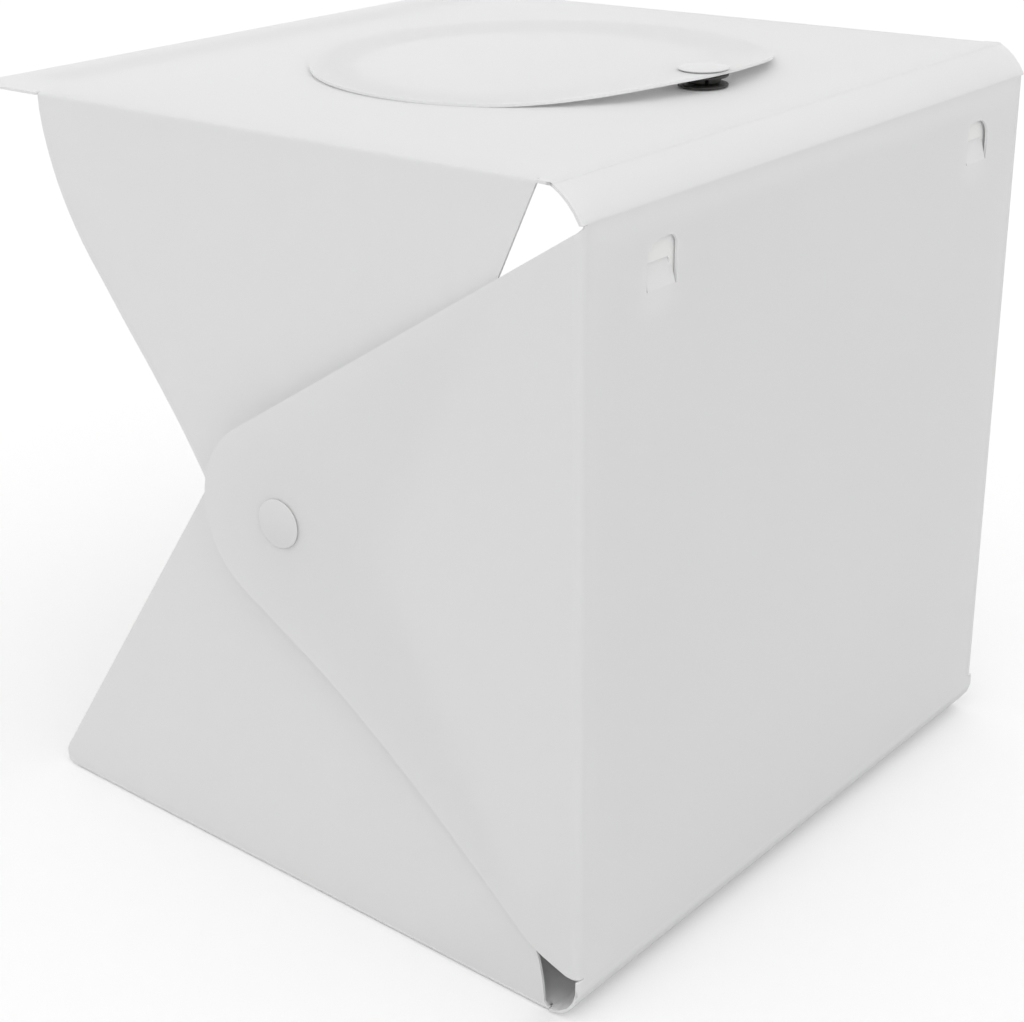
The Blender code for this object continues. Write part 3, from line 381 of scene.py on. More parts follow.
def make_finishes():
    """Every finish of the tent, by name."""
    colours = bpy.context.scene.tent_colours
    # Extruded polypropylene with one frosted face: even, soft, hardly any gloss. Its real grain of
    # about 0.2 mm is drawn at 0.7 mm so that it shows
    frosted = dict(
        patch=0.07, grain=0.0007, depth=0.00004, roughness=0.55, rough_spread=0.06, IOR=1.49
    )
    finishes = {
        "frosted_polypropylene": mottled(
            "frosted_polypropylene_sheet", colours.sheet, spread=0.012, **frosted
        ),
        # The round cover is the same sheet, lit from both faces, so that light falls through it
        "cover_sheet": mottled("frosted_polypropylene_cover", colours.cover, spread=0.01, **frosted),
        # The same sheet pressed thin along a fold: smoother, so that it catches a line of light
        "fold": mottled(
            "pressed_polypropylene_fold",
            colours.fold,
            spread=0.01,
            patch=0.01,
            grain=0.0006,
            depth=0.00002,
            roughness=0.4,
            rough_spread=0.05,
            IOR=1.49,
        ),
        # Injection moulded acetal, as press snaps are: close and smooth, with a soft gloss
        "white_acetal": mottled(
            "moulded_white_acetal",
            colours.cap,
            spread=0.01,
            patch=0.004,
            grain=0.0005,
            depth=0.00001,
            roughness=0.32,
            rough_spread=0.05,
            IOR=1.48,
        ),
        "black_acetal": mottled(
            "moulded_black_acetal",
            colours.dark,
            spread=0.08,
            patch=0.003,
            grain=0.0005,
            depth=0.00002,
            roughness=0.4,
            rough_spread=0.08,
            IOR=1.48,
        ),
        # Closed-cell foam tape: dull, with small cells on its cut edge
        "foam_tape": mottled(
            "white_foam_tape",
            colours.tape,
            spread=0.03,
            patch=0.003,
            grain=0.0006,
            depth=0.00015,
            roughness=0.9,
            rough_spread=0.05,
        ),
        # Glass-fibre board under white lacquer: flat and slightly glossy
        "lamp_board": mottled(
            "white_lacquered_board",
            colours.board,
            spread=0.01,
            patch=0.005,
            grain=0.0008,
            depth=0.00001,
            roughness=0.4,
            rough_spread=0.05,
        ),
        # Moulded polyamide of a lamp's case: clean white with a faint gloss
        "lamp_case": mottled(
            "white_lamp_case",
            colours.lamp_case,
            spread=0.01,
            patch=0.001,
            grain=0.0005,
            depth=0.00001,
            roughness=0.35,
            rough_spread=0.04,
        ),
        # Silicone over phosphor: a yellow gel with fine grains
        "lamp": mottled(
            "yellow_lamp_gel",
            colours.lamp,
            spread=0.08,
            patch=0.0006,
            grain=0.0002,
            depth=0.00002,
            roughness=0.3,
            rough_spread=0.08,
        ),
        # Tin-plated steel, drawn and rubbed: fine cloudy polish
        "plated_steel": mottled(
            "tin_plated_steel",
            colours.metal,
            spread=0.05,
            patch=0.002,
            grain=0.0004,
            depth=0.00001,
            roughness=0.28,
            rough_spread=0.08,
            Metallic=1.0,
        ),
        # Thin gold over stamped contacts: warm and bright
        "gilded": mottled(
            "gilded_contacts",
            colours.gold,
            spread=0.05,
            patch=0.001,
            grain=0.0003,
            depth=0.00001,
            roughness=0.25,
            rough_spread=0.05,
            Metallic=1.0,
        ),
        # Calendered vinyl backdrop: matt, with a leathery grain of about half a millimetre
        "backdrop_vinyl": mottled(
            "matt_vinyl_backdrop",
            colours.backdrop,
            spread=0.008,
            patch=0.05,
            grain=0.0006,
            depth=0.00005,
            roughness=0.7,
            rough_spread=0.05,
        ),
    }
    # Thin unfilled polypropylene glows through, so the inside of the tent is bright, and the shade
    # under the raised cover is soft
    let_light_through(finishes["frosted_polypropylene"], SHEET_LIGHT_SHARE)
    let_light_through(finishes["fold"], SHEET_LIGHT_SHARE)
    let_light_through(finishes["cover_sheet"], COVER_LIGHT_SHARE)
    return finishes


FINISHES = {}


def finish(name):
    """The finish of that name. All of them are made at the first call."""
    if not FINISHES:
        FINISHES.update(make_finishes())
    return FINISHES[name]


def mark_sharp(mesh):
    """Marks the edges where faces meet at a sharp angle, also where their corners aren't joined."""
    spots = [tuple(round(c, MICROMETRE_DIGITS) for c in vertex.co) for vertex in mesh.vertices]
    meeting = {}
    for face in mesh.polygons:
        for loop in face.loop_indices:
            edge = mesh.loops[loop].edge_index
            key = frozenset(spots[v] for v in mesh.edges[edge].vertices)
            meeting.setdefault(key, []).append((edge, face.normal.copy()))
    for uses in meeting.values():
        first = uses[0][1]
        bent = len(uses) < 2 or any(first.dot(normal) < math.cos(SHARP_ANGLE) for _, normal in uses)
        for edge, _ in uses:
            mesh.edges[edge].use_edge_sharp = bent


def dress(node, name):
    """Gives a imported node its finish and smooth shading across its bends."""
    obj = frame["nodes"][node]
    mesh = obj.data
    mesh.materials.clear()
    mesh.materials.append(finish(name))
    if "custom_normal" in mesh.attributes:
        mesh.attributes.remove(mesh.attributes["custom_normal"])
    mesh.shade_smooth()
    mark_sharp(mesh)
    obj.modifiers.new("weld", "WELD").merge_threshold = MICROMETRE


def joint_place(name):
    """Where a joint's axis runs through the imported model."""
    return Vector(next(joint["pos_m"] for joint in frame["joints"] if joint["name"] == name))


def mesh_object(name, bm):
    """Makes an object of the scene from a mesh that is ready."""
    mesh = bpy.data.meshes.new(name)
    bm.to_mesh(mesh)
    bm.free()
    obj = bpy.data.objects.new(name, mesh)
    bpy.context.scene.collection.objects.link(obj)
    return obj


def add_piece(name, bm, finishes, body=None, node=None):
    """Makes a piece of the object. Fold lines have no body or node."""
    bmesh.ops.recalc_face_normals(bm, faces=bm.faces)
    piece = mesh_object(name, bm)
    for each in finishes:
        piece.data.materials.append(finish(each))
    piece.data.shade_smooth()
    piece.data.set_sharp_from_angle(angle=SHARP_ANGLE)
    if node:
        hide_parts(node)
    if body:
        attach(piece, body)
    return piece


def bridge(bm, one, two, material=0):
    """Joins two closed loops of points by a band of faces."""
    for i in range(len(one)):
        j = (i + 1) % len(one)
        bm.faces.new((one[i], one[j], two[j], two[i])).material_index = material


def lathe(bm, profile, place, steps=TURN_STEPS, material=0, first=0.0, last=1.0):
    """Turns a closed loop of (radius, height) points about the place's Z, by shares of a whole turn."""
    whole = last - first >= 1.0
    count = int(steps * (last - first))
    rings = []
    for i in range(count + (not whole)):
        turn = 2 * math.pi * (first + (last - first) * i / count)
        spots = [Vector((r * math.cos(turn), r * math.sin(turn), z)) for r, z in profile]
        rings.append([bm.verts.new(place @ spot) for spot in spots])
    for one, two in zip(rings, rings[1:]):
        bridge(bm, one, two, material)
    if whole:
        bridge(bm, rings[-1], rings[0], material)
    else:
        bm.faces.new(rings[0]).material_index = material
        bm.faces.new(rings[-1][::-1]).material_index = material


def axis_frame(origin, z_axis):
    """A placement whose Z is the given direction."""
    return Matrix.Translation(origin) @ Vector(z_axis).to_track_quat("Z", "Y").to_matrix().to_4x4()


def block(bm, low, high, bevel, material=0):
    """A box with softened edges."""
    made = bmesh.ops.create_cube(bm, size=1)["verts"]
    low, high = Vector(low), Vector(high)
    size = Matrix.Translation((low + high) / 2) @ Matrix.Diagonal((*(high - low), 1))
    bmesh.ops.transform(bm, matrix=size, verts=made)
    faces = {face for vert in made for face in vert.link_faces}
    edges = list(dict.fromkeys(edge for vert in made for edge in vert.link_edges))
    done = bmesh.ops.bevel(bm, geom=edges, offset=bevel, segments=BEVEL_STEPS, affect="EDGES")
    for face in {face for face in faces if face.is_valid} | set(done["faces"]):
        face.material_index = material


def hung_block(bm, x, y, top, size, bevel, material):
    """A small box under a height, about a place. size is its length, width and height."""
    length, width, height = size
    low = (x - length / 2, y - width / 2, top - height)
    block(bm, low, (x + length / 2, y + width / 2, top), bevel, material)


class TENT_OT_stage(bpy.types.Operator):
    """Make the pale floor, the soft lights and the camera"""

    bl_idname = "tent.stage"
    bl_label = "Stage"

    def execute(self, context):
        make_floor()
        make_lights()
        make_camera()
        context.scene.view_settings.view_transform = "Standard"
        return {"FINISHED"}


def seen_directly(tree):
    """1 for what the camera sees, also in a reflection or through glass, and 0 for what lights the tent."""
    path = add_node(tree, "ShaderNodeLightPath").outputs
    larger = {"operation": "MAXIMUM"}
    seen = add_node(tree, "ShaderNodeMath", larger, {0: path["Is Camera Ray"], 1: path["Is Glossy Ray"]})
    seen = add_node(tree, "ShaderNodeMath", larger, {0: seen.outputs[0], 1: path["Is Transmission Ray"]})
    return seen.outputs[0]


def make_floor():
    """Matt paper without gloss: white to the camera and in reflections, and pale grey as a light."""
    bm = bmesh.new()
    bmesh.ops.create_grid(bm, x_segments=1, y_segments=1, size=FLOOR_REACH)
    bmesh.ops.translate(bm, vec=-Z * FLOOR_DEPTH, verts=bm.verts)
    floor = mesh_object("floor", bm)
    material, tree, shader = new_material("pale_floor")
    seen = seen_directly(tree)
    colours = bpy.context.scene.tent_colours
    tone = add_node(
        tree,
        "ShaderNodeMix",
        {"data_type": "RGBA", MIX_FIRST: shaded(colours.floor_light), MIX_SECOND: shaded(colours.floor)},
        {"Factor": seen},
    )
    tree.links.new(tone.outputs[MIX_RESULT], shader.inputs["Base Color"])
    shader.inputs["Roughness"].default_value = FLOOR_ROUGHNESS
    shader.inputs["Specular IOR Level"].default_value = 0.0
    shader.inputs["Emission Color"].default_value = (1, 1, 1, 1)
    glow = add_node(tree, "ShaderNodeMath", {"operation": "MULTIPLY", 1: FLOOR_GLOW}, {0: seen})
    tree.links.new(glow.outputs[0], shader.inputs["Emission Strength"])
    floor.data.materials.append(material)


def make_lights():
    """One broad soft light from above, behind the camera, and a bright even room."""
    data = bpy.data.lights.new("soft_light", "SUN")
    data.angle = LIGHT_SPREAD
    data.energy = LIGHT_STRENGTH
    lamp = bpy.data.objects.new("soft_light", data)
    lamp.rotation_euler = Vector(LIGHT_FROM).to_track_quat("Z", "Y").to_euler()
    bpy.context.scene.collection.objects.link(lamp)
    world = bpy.data.worlds.new("soft_room")
    bpy.context.scene.world = world
    world.use_nodes = True
    tree = world.node_tree
    levels = {"To Min": ROOM_LIGHT, "To Max": ROOM_SEEN}
    strength = add_node(tree, "ShaderNodeMapRange", levels, {"Value": seen_directly(tree)})
    background = tree.nodes["Background"]
    background.inputs["Color"].default_value = (1, 1, 1, 1)
    tree.links.new(strength.outputs["Result"], background.inputs["Strength"])


def make_camera():
    """The photograph's viewpoint: where the lens is, how it is turned, and its focal length."""
    level = Vector((math.cos(CAMERA_AZIMUTH), math.sin(CAMERA_AZIMUTH), 0))
    level_share = math.cos(CAMERA_ELEVATION)
    ahead = Vector(
        (
            -math.sin(CAMERA_AZIMUTH) * level_share,
            math.cos(CAMERA_AZIMUTH) * level_share,
            -math.sin(CAMERA_ELEVATION),
        )
    )
    upright = level.cross(ahead)
    right = math.cos(CAMERA_ROLL) * level + math.sin(CAMERA_ROLL) * upright
    up = -math.sin(CAMERA_ROLL) * level + math.cos(CAMERA_ROLL) * upright
    data = bpy.data.cameras.new("camera")
    data.sensor_fit = "HORIZONTAL"
    data.sensor_width = SENSOR_WIDTH
    data.lens = PHOTO_FOCAL / PHOTO_WIDTH * SENSOR_WIDTH
    data.shift_x = (PHOTO_WIDTH / 2 - PHOTO_MIDDLE[0]) / PHOTO_WIDTH
    data.shift_y = -(PHOTO_HEIGHT / 2 - PHOTO_MIDDLE[1]) / PHOTO_WIDTH
    data.clip_start = CAMERA_NEAR
    camera = bpy.data.objects.new("camera", data)
    turn = Matrix((right, up, -ahead)).transposed().to_4x4()
    camera.matrix_world = Matrix.Translation(CAMERA_PLACE) @ turn
    bpy.context.scene.collection.objects.link(camera)
    bpy.context.scene.camera = camera


class TENT_OT_sheets(bpy.types.Operator):
    """Finish the creased sheet and its flaps"""

    bl_idname = "tent.sheets"
    bl_label = "Sheets"

    def execute(self, context):
        for node in ("bottom_panel", "bottom_spine", "back_panel", "top_spine", "top_panel"):
            dress(node, "frosted_polypropylene")
        for panel in ("back", "bottom", "top"):
            for side, _ in SIDES:
                dress(f"{panel}_flap_{side}", "frosted_polypropylene")
        return {"FINISHED"}


def fold_path(radius, turn):
    """Half of a fold line's middle, as (along, drop, angle) from the cut: round a bend, then straight."""
    sizes = bpy.context.scene.tent_sizes
    cut, bend = sizes.gap / 2, radius - sizes.sheet / 2
    bent = min(turn, sizes.fold_overlap / bend)
    steps = math.ceil(bent / BEND_STEP)
    angles = [0.0] + [bent * i / steps for i in range(1, steps + 1)]
    path = [(cut + bend * math.sin(a), bend * (1 - math.cos(a)), a) for a in angles]
    rest = sizes.fold_overlap - bend * bent
    along, drop, angle = path[-1]
    return path + [(along + rest * math.cos(angle), drop + rest * math.sin(angle), angle)]


def fold_line(name, ends, across, normal, bends, proud=1):
    """A pressed fold line over the cut between two sheets, from one end of the cut to the other.

    across points from the first body's sheet to the second's, and normal points out of the sheet.
    bends holds the radius and the turn of each sheet beside the cut. proud counts the fold heights
    by which the line stands off its sheets.
    """
    sizes = bpy.context.scene.tent_sizes
    thick = sizes.sheet / 2 + sizes.fold_proud * proud
    first, last = Vector(ends[0]), Vector(ends[1])
    section = []
    for side, bend in zip((-1, 1), bends):
        half = []
        for along, drop, angle in fold_path(*bend):
            facing = normal * math.cos(angle) + across * side * math.sin(angle)
            half.append((across * side * along - normal * drop, facing))
        section += half[::-1] if side < 0 else half
    loop = [spot + facing * thick for spot, facing in section]
    loop += [spot - facing * thick for spot, facing in reversed(section)]
    bm = bmesh.new()
    rings = []
    for i in range(FOLD_STEPS + 1):
        place = first.lerp(last, i / FOLD_STEPS)
        rings.append([bm.verts.new(place + point) for point in loop])
    for one, two in zip(rings, rings[1:]):
        bridge(bm, one, two)
    bm.faces.new(rings[0])
    bm.faces.new(rings[-1][::-1])
    piece = add_piece(name, bm, ["fold"])
    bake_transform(piece)


class TENT_OT_folds(bpy.types.Operator):
    """Make the fold lines that join the sheet across its creases"""

    bl_idname = "tent.folds"
    bl_label = "Fold lines"

    def execute(self, context):
        sizes = context.scene.tent_sizes
        cut, half = sizes.gap / 2, sizes.sheet / 2
        rear, top = REAR - half, TOP - half
        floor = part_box("bottom_panel")[1]
        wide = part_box("top_spine")[1].x
        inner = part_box("back_flap_right")[0].x + cut
        low_front = floor.y + cut
        low_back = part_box("bottom_spine")[1].z + cut
        high_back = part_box("back_panel")[1].z + cut
        high_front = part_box("top_panel")[1].y + cut
        crossing = (
            ("lower_front", ("base", "lower_spine"), (floor.x, low_front, half), Y, -Z, (FLAT, LOW_CREASE)),
            ("lower_back", ("lower_spine", "back"), (wide, rear, low_back), Z, Y, (LOW_CREASE, FLAT)),
            ("upper_back", ("back", "upper_spine"), (inner, rear, high_back), Z, Y, (FLAT, HIGH_CREASE)),
            ("upper_front", ("upper_spine", "top"), (wide, high_front, top), -Y, Z, (HIGH_CREASE, FLAT)),
        )
        for name, bodies, (x, y, z), across, normal, bends in crossing:
            fold_line(f"fold_{name}", ((-x, y, z), (x, y, z)), across, normal, bends)
        for side, sign in SIDES:
            out = sign * X
            # The back flap's line ends on the upper one and stands over it, because two faces that
            # share a plane render black
            low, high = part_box(f"back_flap_{side}")
            x = joint_place(f"{side}_back_flap_fold").x - sign * cut
            ends = ((x, rear, low.z + cut * 2), (x, rear, high.z + cut))
            bodies = ("back", f"{side}_back_flap")
            fold_line(f"fold_back_{side}", ends, out, Y, (FLAT, BACK_FOLD), proud=2)
            low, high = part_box(f"top_flap_{side}")
            x = joint_place(f"{side}_top_flap_fold").x - sign * cut
            ends = ((x, low.y + cut, top), (x, high.y - cut, top))
            fold_line(f"fold_top_{side}", ends, out, Z, (FLAT, FLAP_CREASE))
            low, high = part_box(f"bottom_flap_{side}")
            x = sign * (floor.x + cut)
            ends = ((x, low.y + BOTTOM_CORNER, half), (x, high.y - cut, half))
            bodies = ("base", f"{side}_bottom_flap")
            fold_line(f"fold_bottom_{side}", ends, out, -Z, (FLAT, FLAP_CREASE))
        return {"FINISHED"}


class TENT_OT_cover(bpy.types.Operator):
    """Make the round cover, bowed up over its snap"""

    bl_idname = "tent.cover"
    bl_label = "Cover"

    def execute(self, context):
        sizes = context.scene.tent_sizes
        snap = joint_place("cover_swing")
        snap.z = TOP
        place = Matrix.Translation(snap) @ Matrix.Rotation(COVER_TURN, 4, "Z")
        turns = [2 * math.pi * i / COVER_STEPS for i in range(COVER_STEPS)]
        ways = [Vector((math.cos(turn), math.sin(turn), 0)) for turn in turns]
        bm = bmesh.new()
        layers = []
        for face in (0.0, sizes.sheet):
            rings = []
            for i in range(COVER_RINGS + 1):
                ring = []
                for way in ways:
                    rim = way * sizes.cover_radius - Y * sizes.cover_reach
                    spot = (way * SNAP_BORE).lerp(rim, i / COVER_RINGS)
                    spot.z = face + self.height(sizes, spot.xy.length)
                    ring.append(bm.verts.new(place @ spot))
                rings.append(ring)
            layers.append(rings)
        for rings in layers:
            for one, two in zip(rings, rings[1:]):
                bridge(bm, one, two)
        for edge in (0, -1):
            bridge(bm, layers[0][edge], layers[1][edge])
        add_piece("round_cover", bm, ["cover_sheet"], "cover", "top_cover")
        return {"FINISHED"}

    def height(self, sizes, away):
        """How high the cover runs over the top, by how far it is from its snap."""
        low, rest = sizes.cover_seat, sizes.cover_rest
        share = min(max((away - sizes.cover_flat) / (rest - sizes.cover_flat), 0), 1)
        past = max(away - rest, 0) / (sizes.cover_reach + sizes.cover_radius - rest)
        fall = (1 + math.cos(math.pi * share)) / 2
        return low + (sizes.cover_lift - low) * fall + sizes.cover_curl * past * past


def flange_edge(sizes):
    """The outer edge of a socket's or a stud's flange, from its seat to its face."""
    radius = sizes.snap_flange
    inward, height = FLANGE_EDGE
    edge = [(radius - inward, 0.0), (radius, height)]
    return edge + [(radius, FLANGE_HEIGHT - height), (radius - inward, FLANGE_HEIGHT)]


def socket_outline(sizes):
    """The socket's flange with a shallow dish, and a collar round its bore."""
    return [(SNAP_BORE, 0.0), *flange_edge(sizes), *SOCKET_FACE]


def stud_outline(sizes, shank=0.0):
    """The stud's flange and its knob, which swells above a neck. It has a bore or a solid shank."""
    loop = [*flange_edge(sizes), *STUD_FACE][::-1]
    if shank:
        foot = [(SNAP_POST, 0.0), (SNAP_POST, -shank), (AXIS_RADIUS, -shank)]
        return [(AXIS_RADIUS, STUD_HEIGHT), *loop, *foot]
    return [*loop, (SNAP_BORE, 0.0), (SNAP_BORE, STUD_HEIGHT)]


def cap_outline(sizes, post):
    """A crowned cap with a rounded shoulder, and the post under it."""
    radius, rise = sizes.snap_radius, sizes.snap_height
    crown = rise - CAP_RIM
    ball = (radius**2 + crown**2) / (2 * crown)
    shoulder = CAP_RIM * CAP_SHOULDER_SHARE
    inner = radius - shoulder
    radii = [inner * i / CROWN_STEPS for i in range(CROWN_STEPS + 1)]
    loop = [(r, rise - ball + math.sqrt(ball**2 - r**2)) for r in radii]
    edge = loop[-1][1]
    turns = [math.pi / 2 * i / SHOULDER_STEPS for i in range(1, SHOULDER_STEPS + 1)]
    loop += [(inner + shoulder * math.sin(turn), edge - shoulder * (1 - math.cos(turn))) for turn in turns]
    loop += [(radius - inward, height) for inward, height in CAP_FEET]
    loop += [(SNAP_POST + POST_ROOT[0], 0.0), (SNAP_POST, -POST_ROOT[1])]
    loop += [(SNAP_POST, POST_TIP[1] - post), (SNAP_POST - POST_TIP[0], -post), (0.0, -post)]
    return [(max(r, AXIS_RADIUS), z) for r, z in loop]


def add_spring(bm, place):
    """The socket's spring ring, parted by slots."""
    slot_share = SLOT_WIDTH / (2 * math.pi * SLOT_RADIUS)
    for i in range(SPRING_SLOTS):
        first = (i + 0.5) / SPRING_SLOTS + slot_share / 2
        last = (i + 1.5) / SPRING_SLOTS - slot_share / 2
        lathe(bm, SPRING, place, first=first, last=last)


def side_snaps(side, sign, sizes):
    """The four pieces of one side's snap, each on the flap that carries it."""
    low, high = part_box(f"snap_stud_{side}")
    _, y, z = (low + high) / 2
    hinge = joint_place(f"{side}_back_flap_fold")
    depth = REAR - y
    face = max(abs(corner.x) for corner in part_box(f"bottom_flap_{side}"))
    # At its snap the back flap stands out over the bottom flap by the stud, the socket and its own
    # sheet, with a gap under each
    stack = 3 * sizes.gap + STUD_HEIGHT + SPRING_HEIGHT + sizes.sheet
    splay = math.asin((face + stack - abs(hinge.x) - BACK_FOLD_RADIUS) / depth)
    outward = Vector((sign * math.cos(splay), math.sin(splay), 0))
    along = Vector((sign * math.sin(splay), -math.cos(splay), 0))
    base = Vector((hinge.x, hinge.y, z)) + along * depth
    outer = base + outward * (BACK_FOLD_RADIUS + sizes.gap)
    inner = base + outward * (BACK_FOLD_RADIUS - sizes.sheet - sizes.gap)
    stud = (sign * (face + sizes.gap), y, z)
    fold = joint_place(f"{side}_top_flap_fold")
    inward = Vector((-sign * math.cos(TOP_FLAP_TILT), 0, math.sin(TOP_FLAP_TILT)))
    down = Vector((-sign * math.sin(TOP_FLAP_TILT), 0, -math.cos(TOP_FLAP_TILT)))
    cap = Vector((fold.x, y, fold.z)) + down * (TOP - sizes.sheet - z)
    cap -= inward * (CREASE_RADIUS - sizes.sheet - sizes.gap)
    return [
        (f"snap_cap_{side}", f"{side}_back_flap", outer, outward, "socket_cap"),
        (f"snap_socket_{side}", f"{side}_back_flap", inner, -outward, "socket"),
        (f"snap_stud_{side}", f"{side}_bottom_flap", stud, sign * X, "shank_stud"),
        (f"snap_inner_cap_{side}", f"{side}_top_flap", cap, inward, "flat_cap"),
    ]


class TENT_OT_snaps(bpy.types.Operator):
    """Make the press snaps of the sides and of the cover"""

    bl_idname = "tent.snaps"
    bl_label = "Press snaps"

    def execute(self, context):
        sizes = context.scene.tent_sizes
        through = sizes.gap + sizes.sheet
        outlines = {
            "socket_cap": cap_outline(sizes, through + COLLAR_HEIGHT),
            "stud_cap": cap_outline(sizes, through + STUD_HEIGHT),
            "flat_cap": cap_outline(sizes, through),
            "socket": socket_outline(sizes),
            "open_stud": stud_outline(sizes),
            "shank_stud": stud_outline(sizes, through),
        }
        x, y, _ = joint_place("cover_swing")
        lifted = TOP + sizes.cover_lift
        places = [
            ("cover_snap_cap", "cover", (x, y, lifted + through), Z, "socket_cap"),
            ("cover_snap_socket", "cover", (x, y, lifted - sizes.gap), -Z, "socket"),
            ("cover_snap_stud", "top", (x, y, TOP + sizes.gap), Z, "open_stud"),
            ("cover_snap_inner_cap", "top", (x, y, TOP - through), -Z, "stud_cap"),
        ]
        for side, sign in SIDES:
            places += side_snaps(side, sign, sizes)
        for node, body, origin, facing, kind in places:
            place = axis_frame(origin, facing)
            bm = bmesh.new()
            lathe(bm, outlines[kind], place)
            if kind == "socket":
                add_spring(bm, place)
            acetal = "white_acetal" if kind.endswith("cap") else "black_acetal"
            add_piece(f"press_{node}", bm, [acetal], body, node)
        return {"FINISHED"}


class TENT_OT_light_bar(bpy.types.Operator):
    """Dress the light bar and make its lamps, contacts and button"""

    bl_idname = "tent.light_bar"
    bl_label = "Light bar"

    def execute(self, context):
        dress("led_tape", "foam_tape")
        dress("led_housing", "black_acetal")
        dress("led_box_cover", "black_acetal")
        self.make_board(context.scene.tent_sizes)
        self.make_inlet()
        self.make_button()
        return {"FINISHED"}

    def make_board(self, sizes):
        """The board with its lamps, a resistor after every few of them, and the switch's body."""
        finishes = ["lamp_board", "lamp_case", "lamp", "black_acetal", "plated_steel"]
        _, case, gel, dark, plated = range(len(finishes))
        low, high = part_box("led_board")
        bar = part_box("led_housing")[0]
        foot = high.z - BOARD_THICK
        middle = (low.y + high.y) / 2
        start = bar.x + END_BOX
        step = (high.x - start) / sizes.lamps
        lamp = (sizes.lamp_length, sizes.lamp_width, LAMP_HEIGHT)
        bm = bmesh.new()
        block(bm, (low.x, low.y, foot), high, FINE_BEVEL)
        for i in range(sizes.lamps):
            x = start + step * (i + 0.5)
            hung_block(bm, x, middle, foot, lamp, LAMP_BEVEL, case)
            lathe(bm, GEL, Matrix.Translation((x, middle, foot - LAMP_HEIGHT)), GEL_STEPS, gel)
            if (i + 1) % LAMPS_TO_RESISTOR == 0:
                x += step / 2
                hung_block(bm, x, middle, foot, RESISTOR, FINE_BEVEL, dark)
                for out in (-RESISTOR_END_OUT, RESISTOR_END_OUT):
                    hung_block(bm, x + out, middle, foot, RESISTOR_END, FINE_BEVEL, plated)
        x = sum(corner.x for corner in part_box("led_button")) / 2
        y = bar.y + SWITCH_FROM_FRONT
        switch_low = (x - SWITCH_SIZE / 2, y, low.z)
        block(bm, switch_low, (x + SWITCH_SIZE / 2, y + SWITCH_SIZE, foot), SWITCH_BEVEL, dark)
        add_piece("lamp_board", bm, finishes, "top", "led_board")

    def make_inlet(self):
        """The inlet's drawn shell, open towards the bar's end, with its tongue and contacts."""
        low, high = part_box("led_inlet")
        wall = INLET_WALL
        walls = (
            (low, (high.x, high.y, low.z + wall)),
            ((low.x, low.y, high.z - wall), high),
            (low, (high.x, low.y + wall, high.z)),
            ((low.x, high.y - wall, low.z), high),
            ((high.x - wall, low.y, low.z), high),
        )
        bm = bmesh.new()
        for one, two in walls:
            block(bm, one, two, FINE_BEVEL)
        finishes = ["plated_steel", "black_acetal", "gilded"]
        _, dark, gold = range(len(finishes))
        _, y, z = (low + high) / 2
        tongue_low = (low.x + TONGUE_INSET, y - TONGUE_HALF, z - TONGUE_UNDER)
        block(bm, tongue_low, (high.x - wall / 2, y + TONGUE_HALF, z + TONGUE_OVER), TONGUE_BEVEL, dark)
        near, far = low.x + CONTACT_INSETS[0], high.x - CONTACT_INSETS[1]
        foot, head = (z - under for under in CONTACT_UNDER)
        for i in range(CONTACTS):
            side = y + (i - CONTACTS // 2) * CONTACT_PITCH
            contact_low = (near, side - CONTACT_HALF, foot)
            block(bm, contact_low, (far, side + CONTACT_HALF, head), CONTACT_BEVEL, gold)
        add_piece("power_inlet", bm, finishes, "top", "led_inlet")

    def make_button(self):
        """The button's round stem with a rounded edge at its tip."""
        low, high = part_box("led_button")
        radius, length = (high.x - low.x) / 2, high.y - low.y
        edge = [(radius - inward, -under) for inward, under in BUTTON_EDGE]
        outline = [(AXIS_RADIUS, 0.0), *edge, (radius, -length), (AXIS_RADIUS, -length)]
        tip = (low + high) / 2
        tip.y = low.y
        bm = bmesh.new()
        lathe(bm, outline, axis_frame(tip, -Y), BUTTON_STEPS)
        add_piece("switch_button", bm, ["white_acetal"], "button", "led_button")


class TENT_OT_backdrop(bpy.types.Operator):
    """Hang the backdrop sheet from the two hooks and sweep it forward over the bottom"""

    bl_idname = "tent.backdrop"
    bl_label = "Backdrop"

    def execute(self, context):
        hang = BackdropHang(context.scene.tent_sizes, *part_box("backdrop"))
        bm = bmesh.new()
        pairs = {}
        edges = set()
        for cell in hang.grid_cells() + hang.corner_cells():
            keys = [tuple(round(value, MICROMETRE_DIGITS) for value in spot) for spot in cell]
            for key, spot in zip(keys, cell):
                if key not in pairs:
                    pairs[key] = [bm.verts.new(point) for point in hang.faces_at(*spot)]
            bm.faces.new([pairs[key][0] for key in keys])
            bm.faces.new([pairs[key][1] for key in reversed(keys)])
            edges |= set(zip(keys, keys[1:] + keys[:1]))
        for one, two in sorted(edges):
            if (two, one) not in edges:
                bm.faces.new((pairs[one][0], pairs[two][0], pairs[two][1], pairs[one][1]))
        piece = add_piece(
            "hung_backdrop_sheet", bm, ["backdrop_vinyl"], "hung_backdrop", "backdrop"
        )
        return {"FINISHED"}


def evenly(start, end, count):
    """The ends of equal steps from one place to another."""
    return [start + (end - start) * i / count for i in range(1, count + 1)]


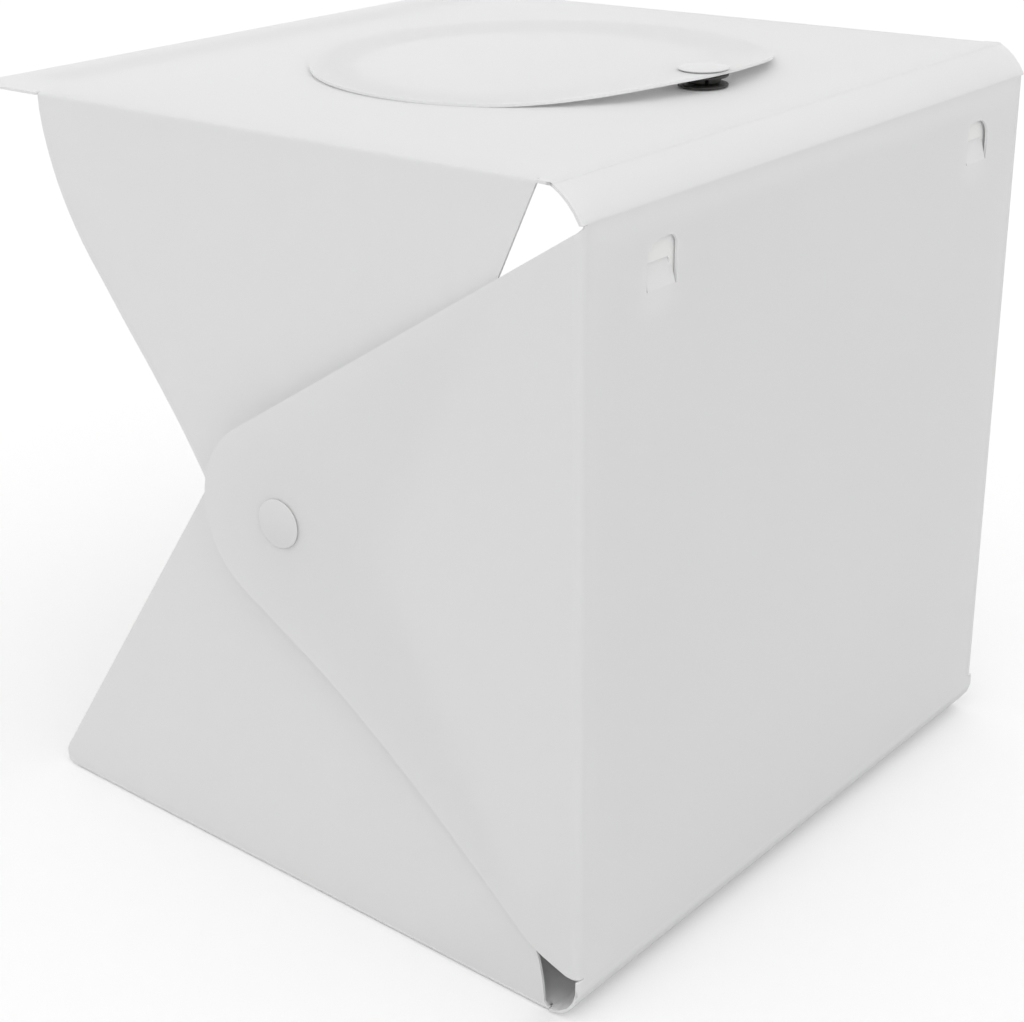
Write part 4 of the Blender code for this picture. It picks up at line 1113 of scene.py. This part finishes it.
class BackdropHang:
    """The backdrop's cut and how it hangs. A place on it is across from its middle, along from its top."""

    def __init__(self, sizes, low, high):
        self.thick = sizes.backdrop_sheet
        self.half = high.x
        self.rear = high.y - self.thick / 2
        self.rest = low.z + self.thick / 2
        self.sweep = sizes.backdrop_sweep
        self.curl = sizes.backdrop_curl
        self.drop = high.z - self.rest - self.sweep
        self.arc = self.sweep * math.pi / 2
        self.length = self.drop + self.arc + self.rear - self.sweep - low.y
        self.head = sizes.hole_from_top
        self.foot = sizes.hole_from_top + sizes.hole_height
        self.rounds = (sizes.hole_round, sizes.hole_round * 2)
        reach, half_hole = BACK_SIDE - sizes.hook_from_edge, sizes.hole_width / 2
        self.holes = [(hook - half_hole, hook + half_hole) for hook in (-reach, reach)]

    def faces_at(self, across, along):
        """The front and the rear face of the sheet at a place on it."""
        turn = min(max((along - self.drop) / self.sweep, 0.0), math.pi / 2)
        outward = Vector((0, math.cos(turn), -math.sin(turn)))
        centre = Vector((across, self.rear - self.sweep, self.rest + self.sweep))
        middle = centre + outward * self.sweep
        middle.z += max(self.drop - along, 0.0)
        middle.y -= max(along - self.drop - self.arc, 0.0)
        # The free side edges curl a little towards the front, less and less as the sheet lies down
        middle -= outward * self.curl * abs(across / self.half) ** CURL_POWER * math.cos(turn)
        return middle - outward * self.thick / 2, middle + outward * self.thick / 2

    def grid_cells(self):
        """The cells of the sheet around its two holes."""
        small, large = self.rounds
        across = [self.half * i / HALF_CELLS for i in range(-HALF_CELLS, HALF_CELLS + 1)]
        for left, right in self.holes:
            across = [a for a in across if not left - HOLE_MARGIN < a < right + HOLE_MARGIN]
        for left, right in self.holes:
            across += [left, left + small, left + large, right - large, right - small, right]
        across.sort()
        along = [0.0, self.head / 2, self.head, self.head + small, self.foot - large, self.foot]
        along += evenly(self.foot, self.drop, HUNG_CELLS)
        along += evenly(self.drop, self.drop + self.arc, SWEPT_CELLS)
        along += evenly(self.drop + self.arc, self.length, LAID_CELLS)
        cells = []
        for left, right in zip(across, across[1:]):
            beside = any(low <= (left + right) / 2 <= high for low, high in self.holes)
            for near, far in zip(along, along[1:]):
                if not (beside and self.head <= (near + far) / 2 <= self.foot):
                    cells.append([(left, near), (left, far), (right, far), (right, near)])
        return cells

    def corner_cells(self):
        """A rounded filler in each corner of each hole."""
        small, large = self.rounds
        cells = []
        for left, right in self.holes:
            for edge, inward in ((left, 1), (right, -1)):
                for end, down, size in ((self.head, 1, small), (self.foot, -1, large)):
                    corner = [(edge, end)]
                    if size > small:
                        corner.append((edge + inward * small, end))
                    for i in range(CORNER_STEPS + 1):
                        turn = math.pi / 2 * i / CORNER_STEPS
                        across = edge + inward * size * (1 - math.sin(turn))
                        corner.append((across, end + down * size * (1 - math.cos(turn))))
                    cells.append(corner if inward * down < 0 else corner[::-1])
        return cells


class TENT_PT_panel(bpy.types.Panel):
    """The tent's sizes, colours and pieces"""

    bl_idname = "TENT_PT_panel"
    bl_label = "Light Tent"
    bl_space_type = "VIEW_3D"
    bl_region_type = "UI"
    bl_category = "Light Tent"

    def draw(self, context):
        layout = self.layout
        for group in (context.scene.tent_sizes, context.scene.tent_colours):
            column = layout.column()
            for name in group.__annotations__:
                column.prop(group, name)
        for operator in OPERATORS:
            layout.operator(operator.bl_idname)


OPERATORS = (
    TENT_OT_stage,
    TENT_OT_sheets,
    TENT_OT_folds,
    TENT_OT_cover,
    TENT_OT_snaps,
    TENT_OT_light_bar,
    TENT_OT_backdrop,
)
CLASSES = (TentSizes, TentColours, *OPERATORS, TENT_PT_panel)


def register():
    for each in CLASSES:
        bpy.utils.register_class(each)
    bpy.types.Scene.tent_sizes = PointerProperty(type=TentSizes)
    bpy.types.Scene.tent_colours = PointerProperty(type=TentColours)


def unregister():
    del bpy.types.Scene.tent_colours
    del bpy.types.Scene.tent_sizes
    for each in reversed(CLASSES):
        bpy.utils.unregister_class(each)


def main():
    register()
    for operator in OPERATORS:
        getattr(bpy.ops.tent, operator.bl_idname.split(".")[1])()


if __name__ == "__main__":
    main()
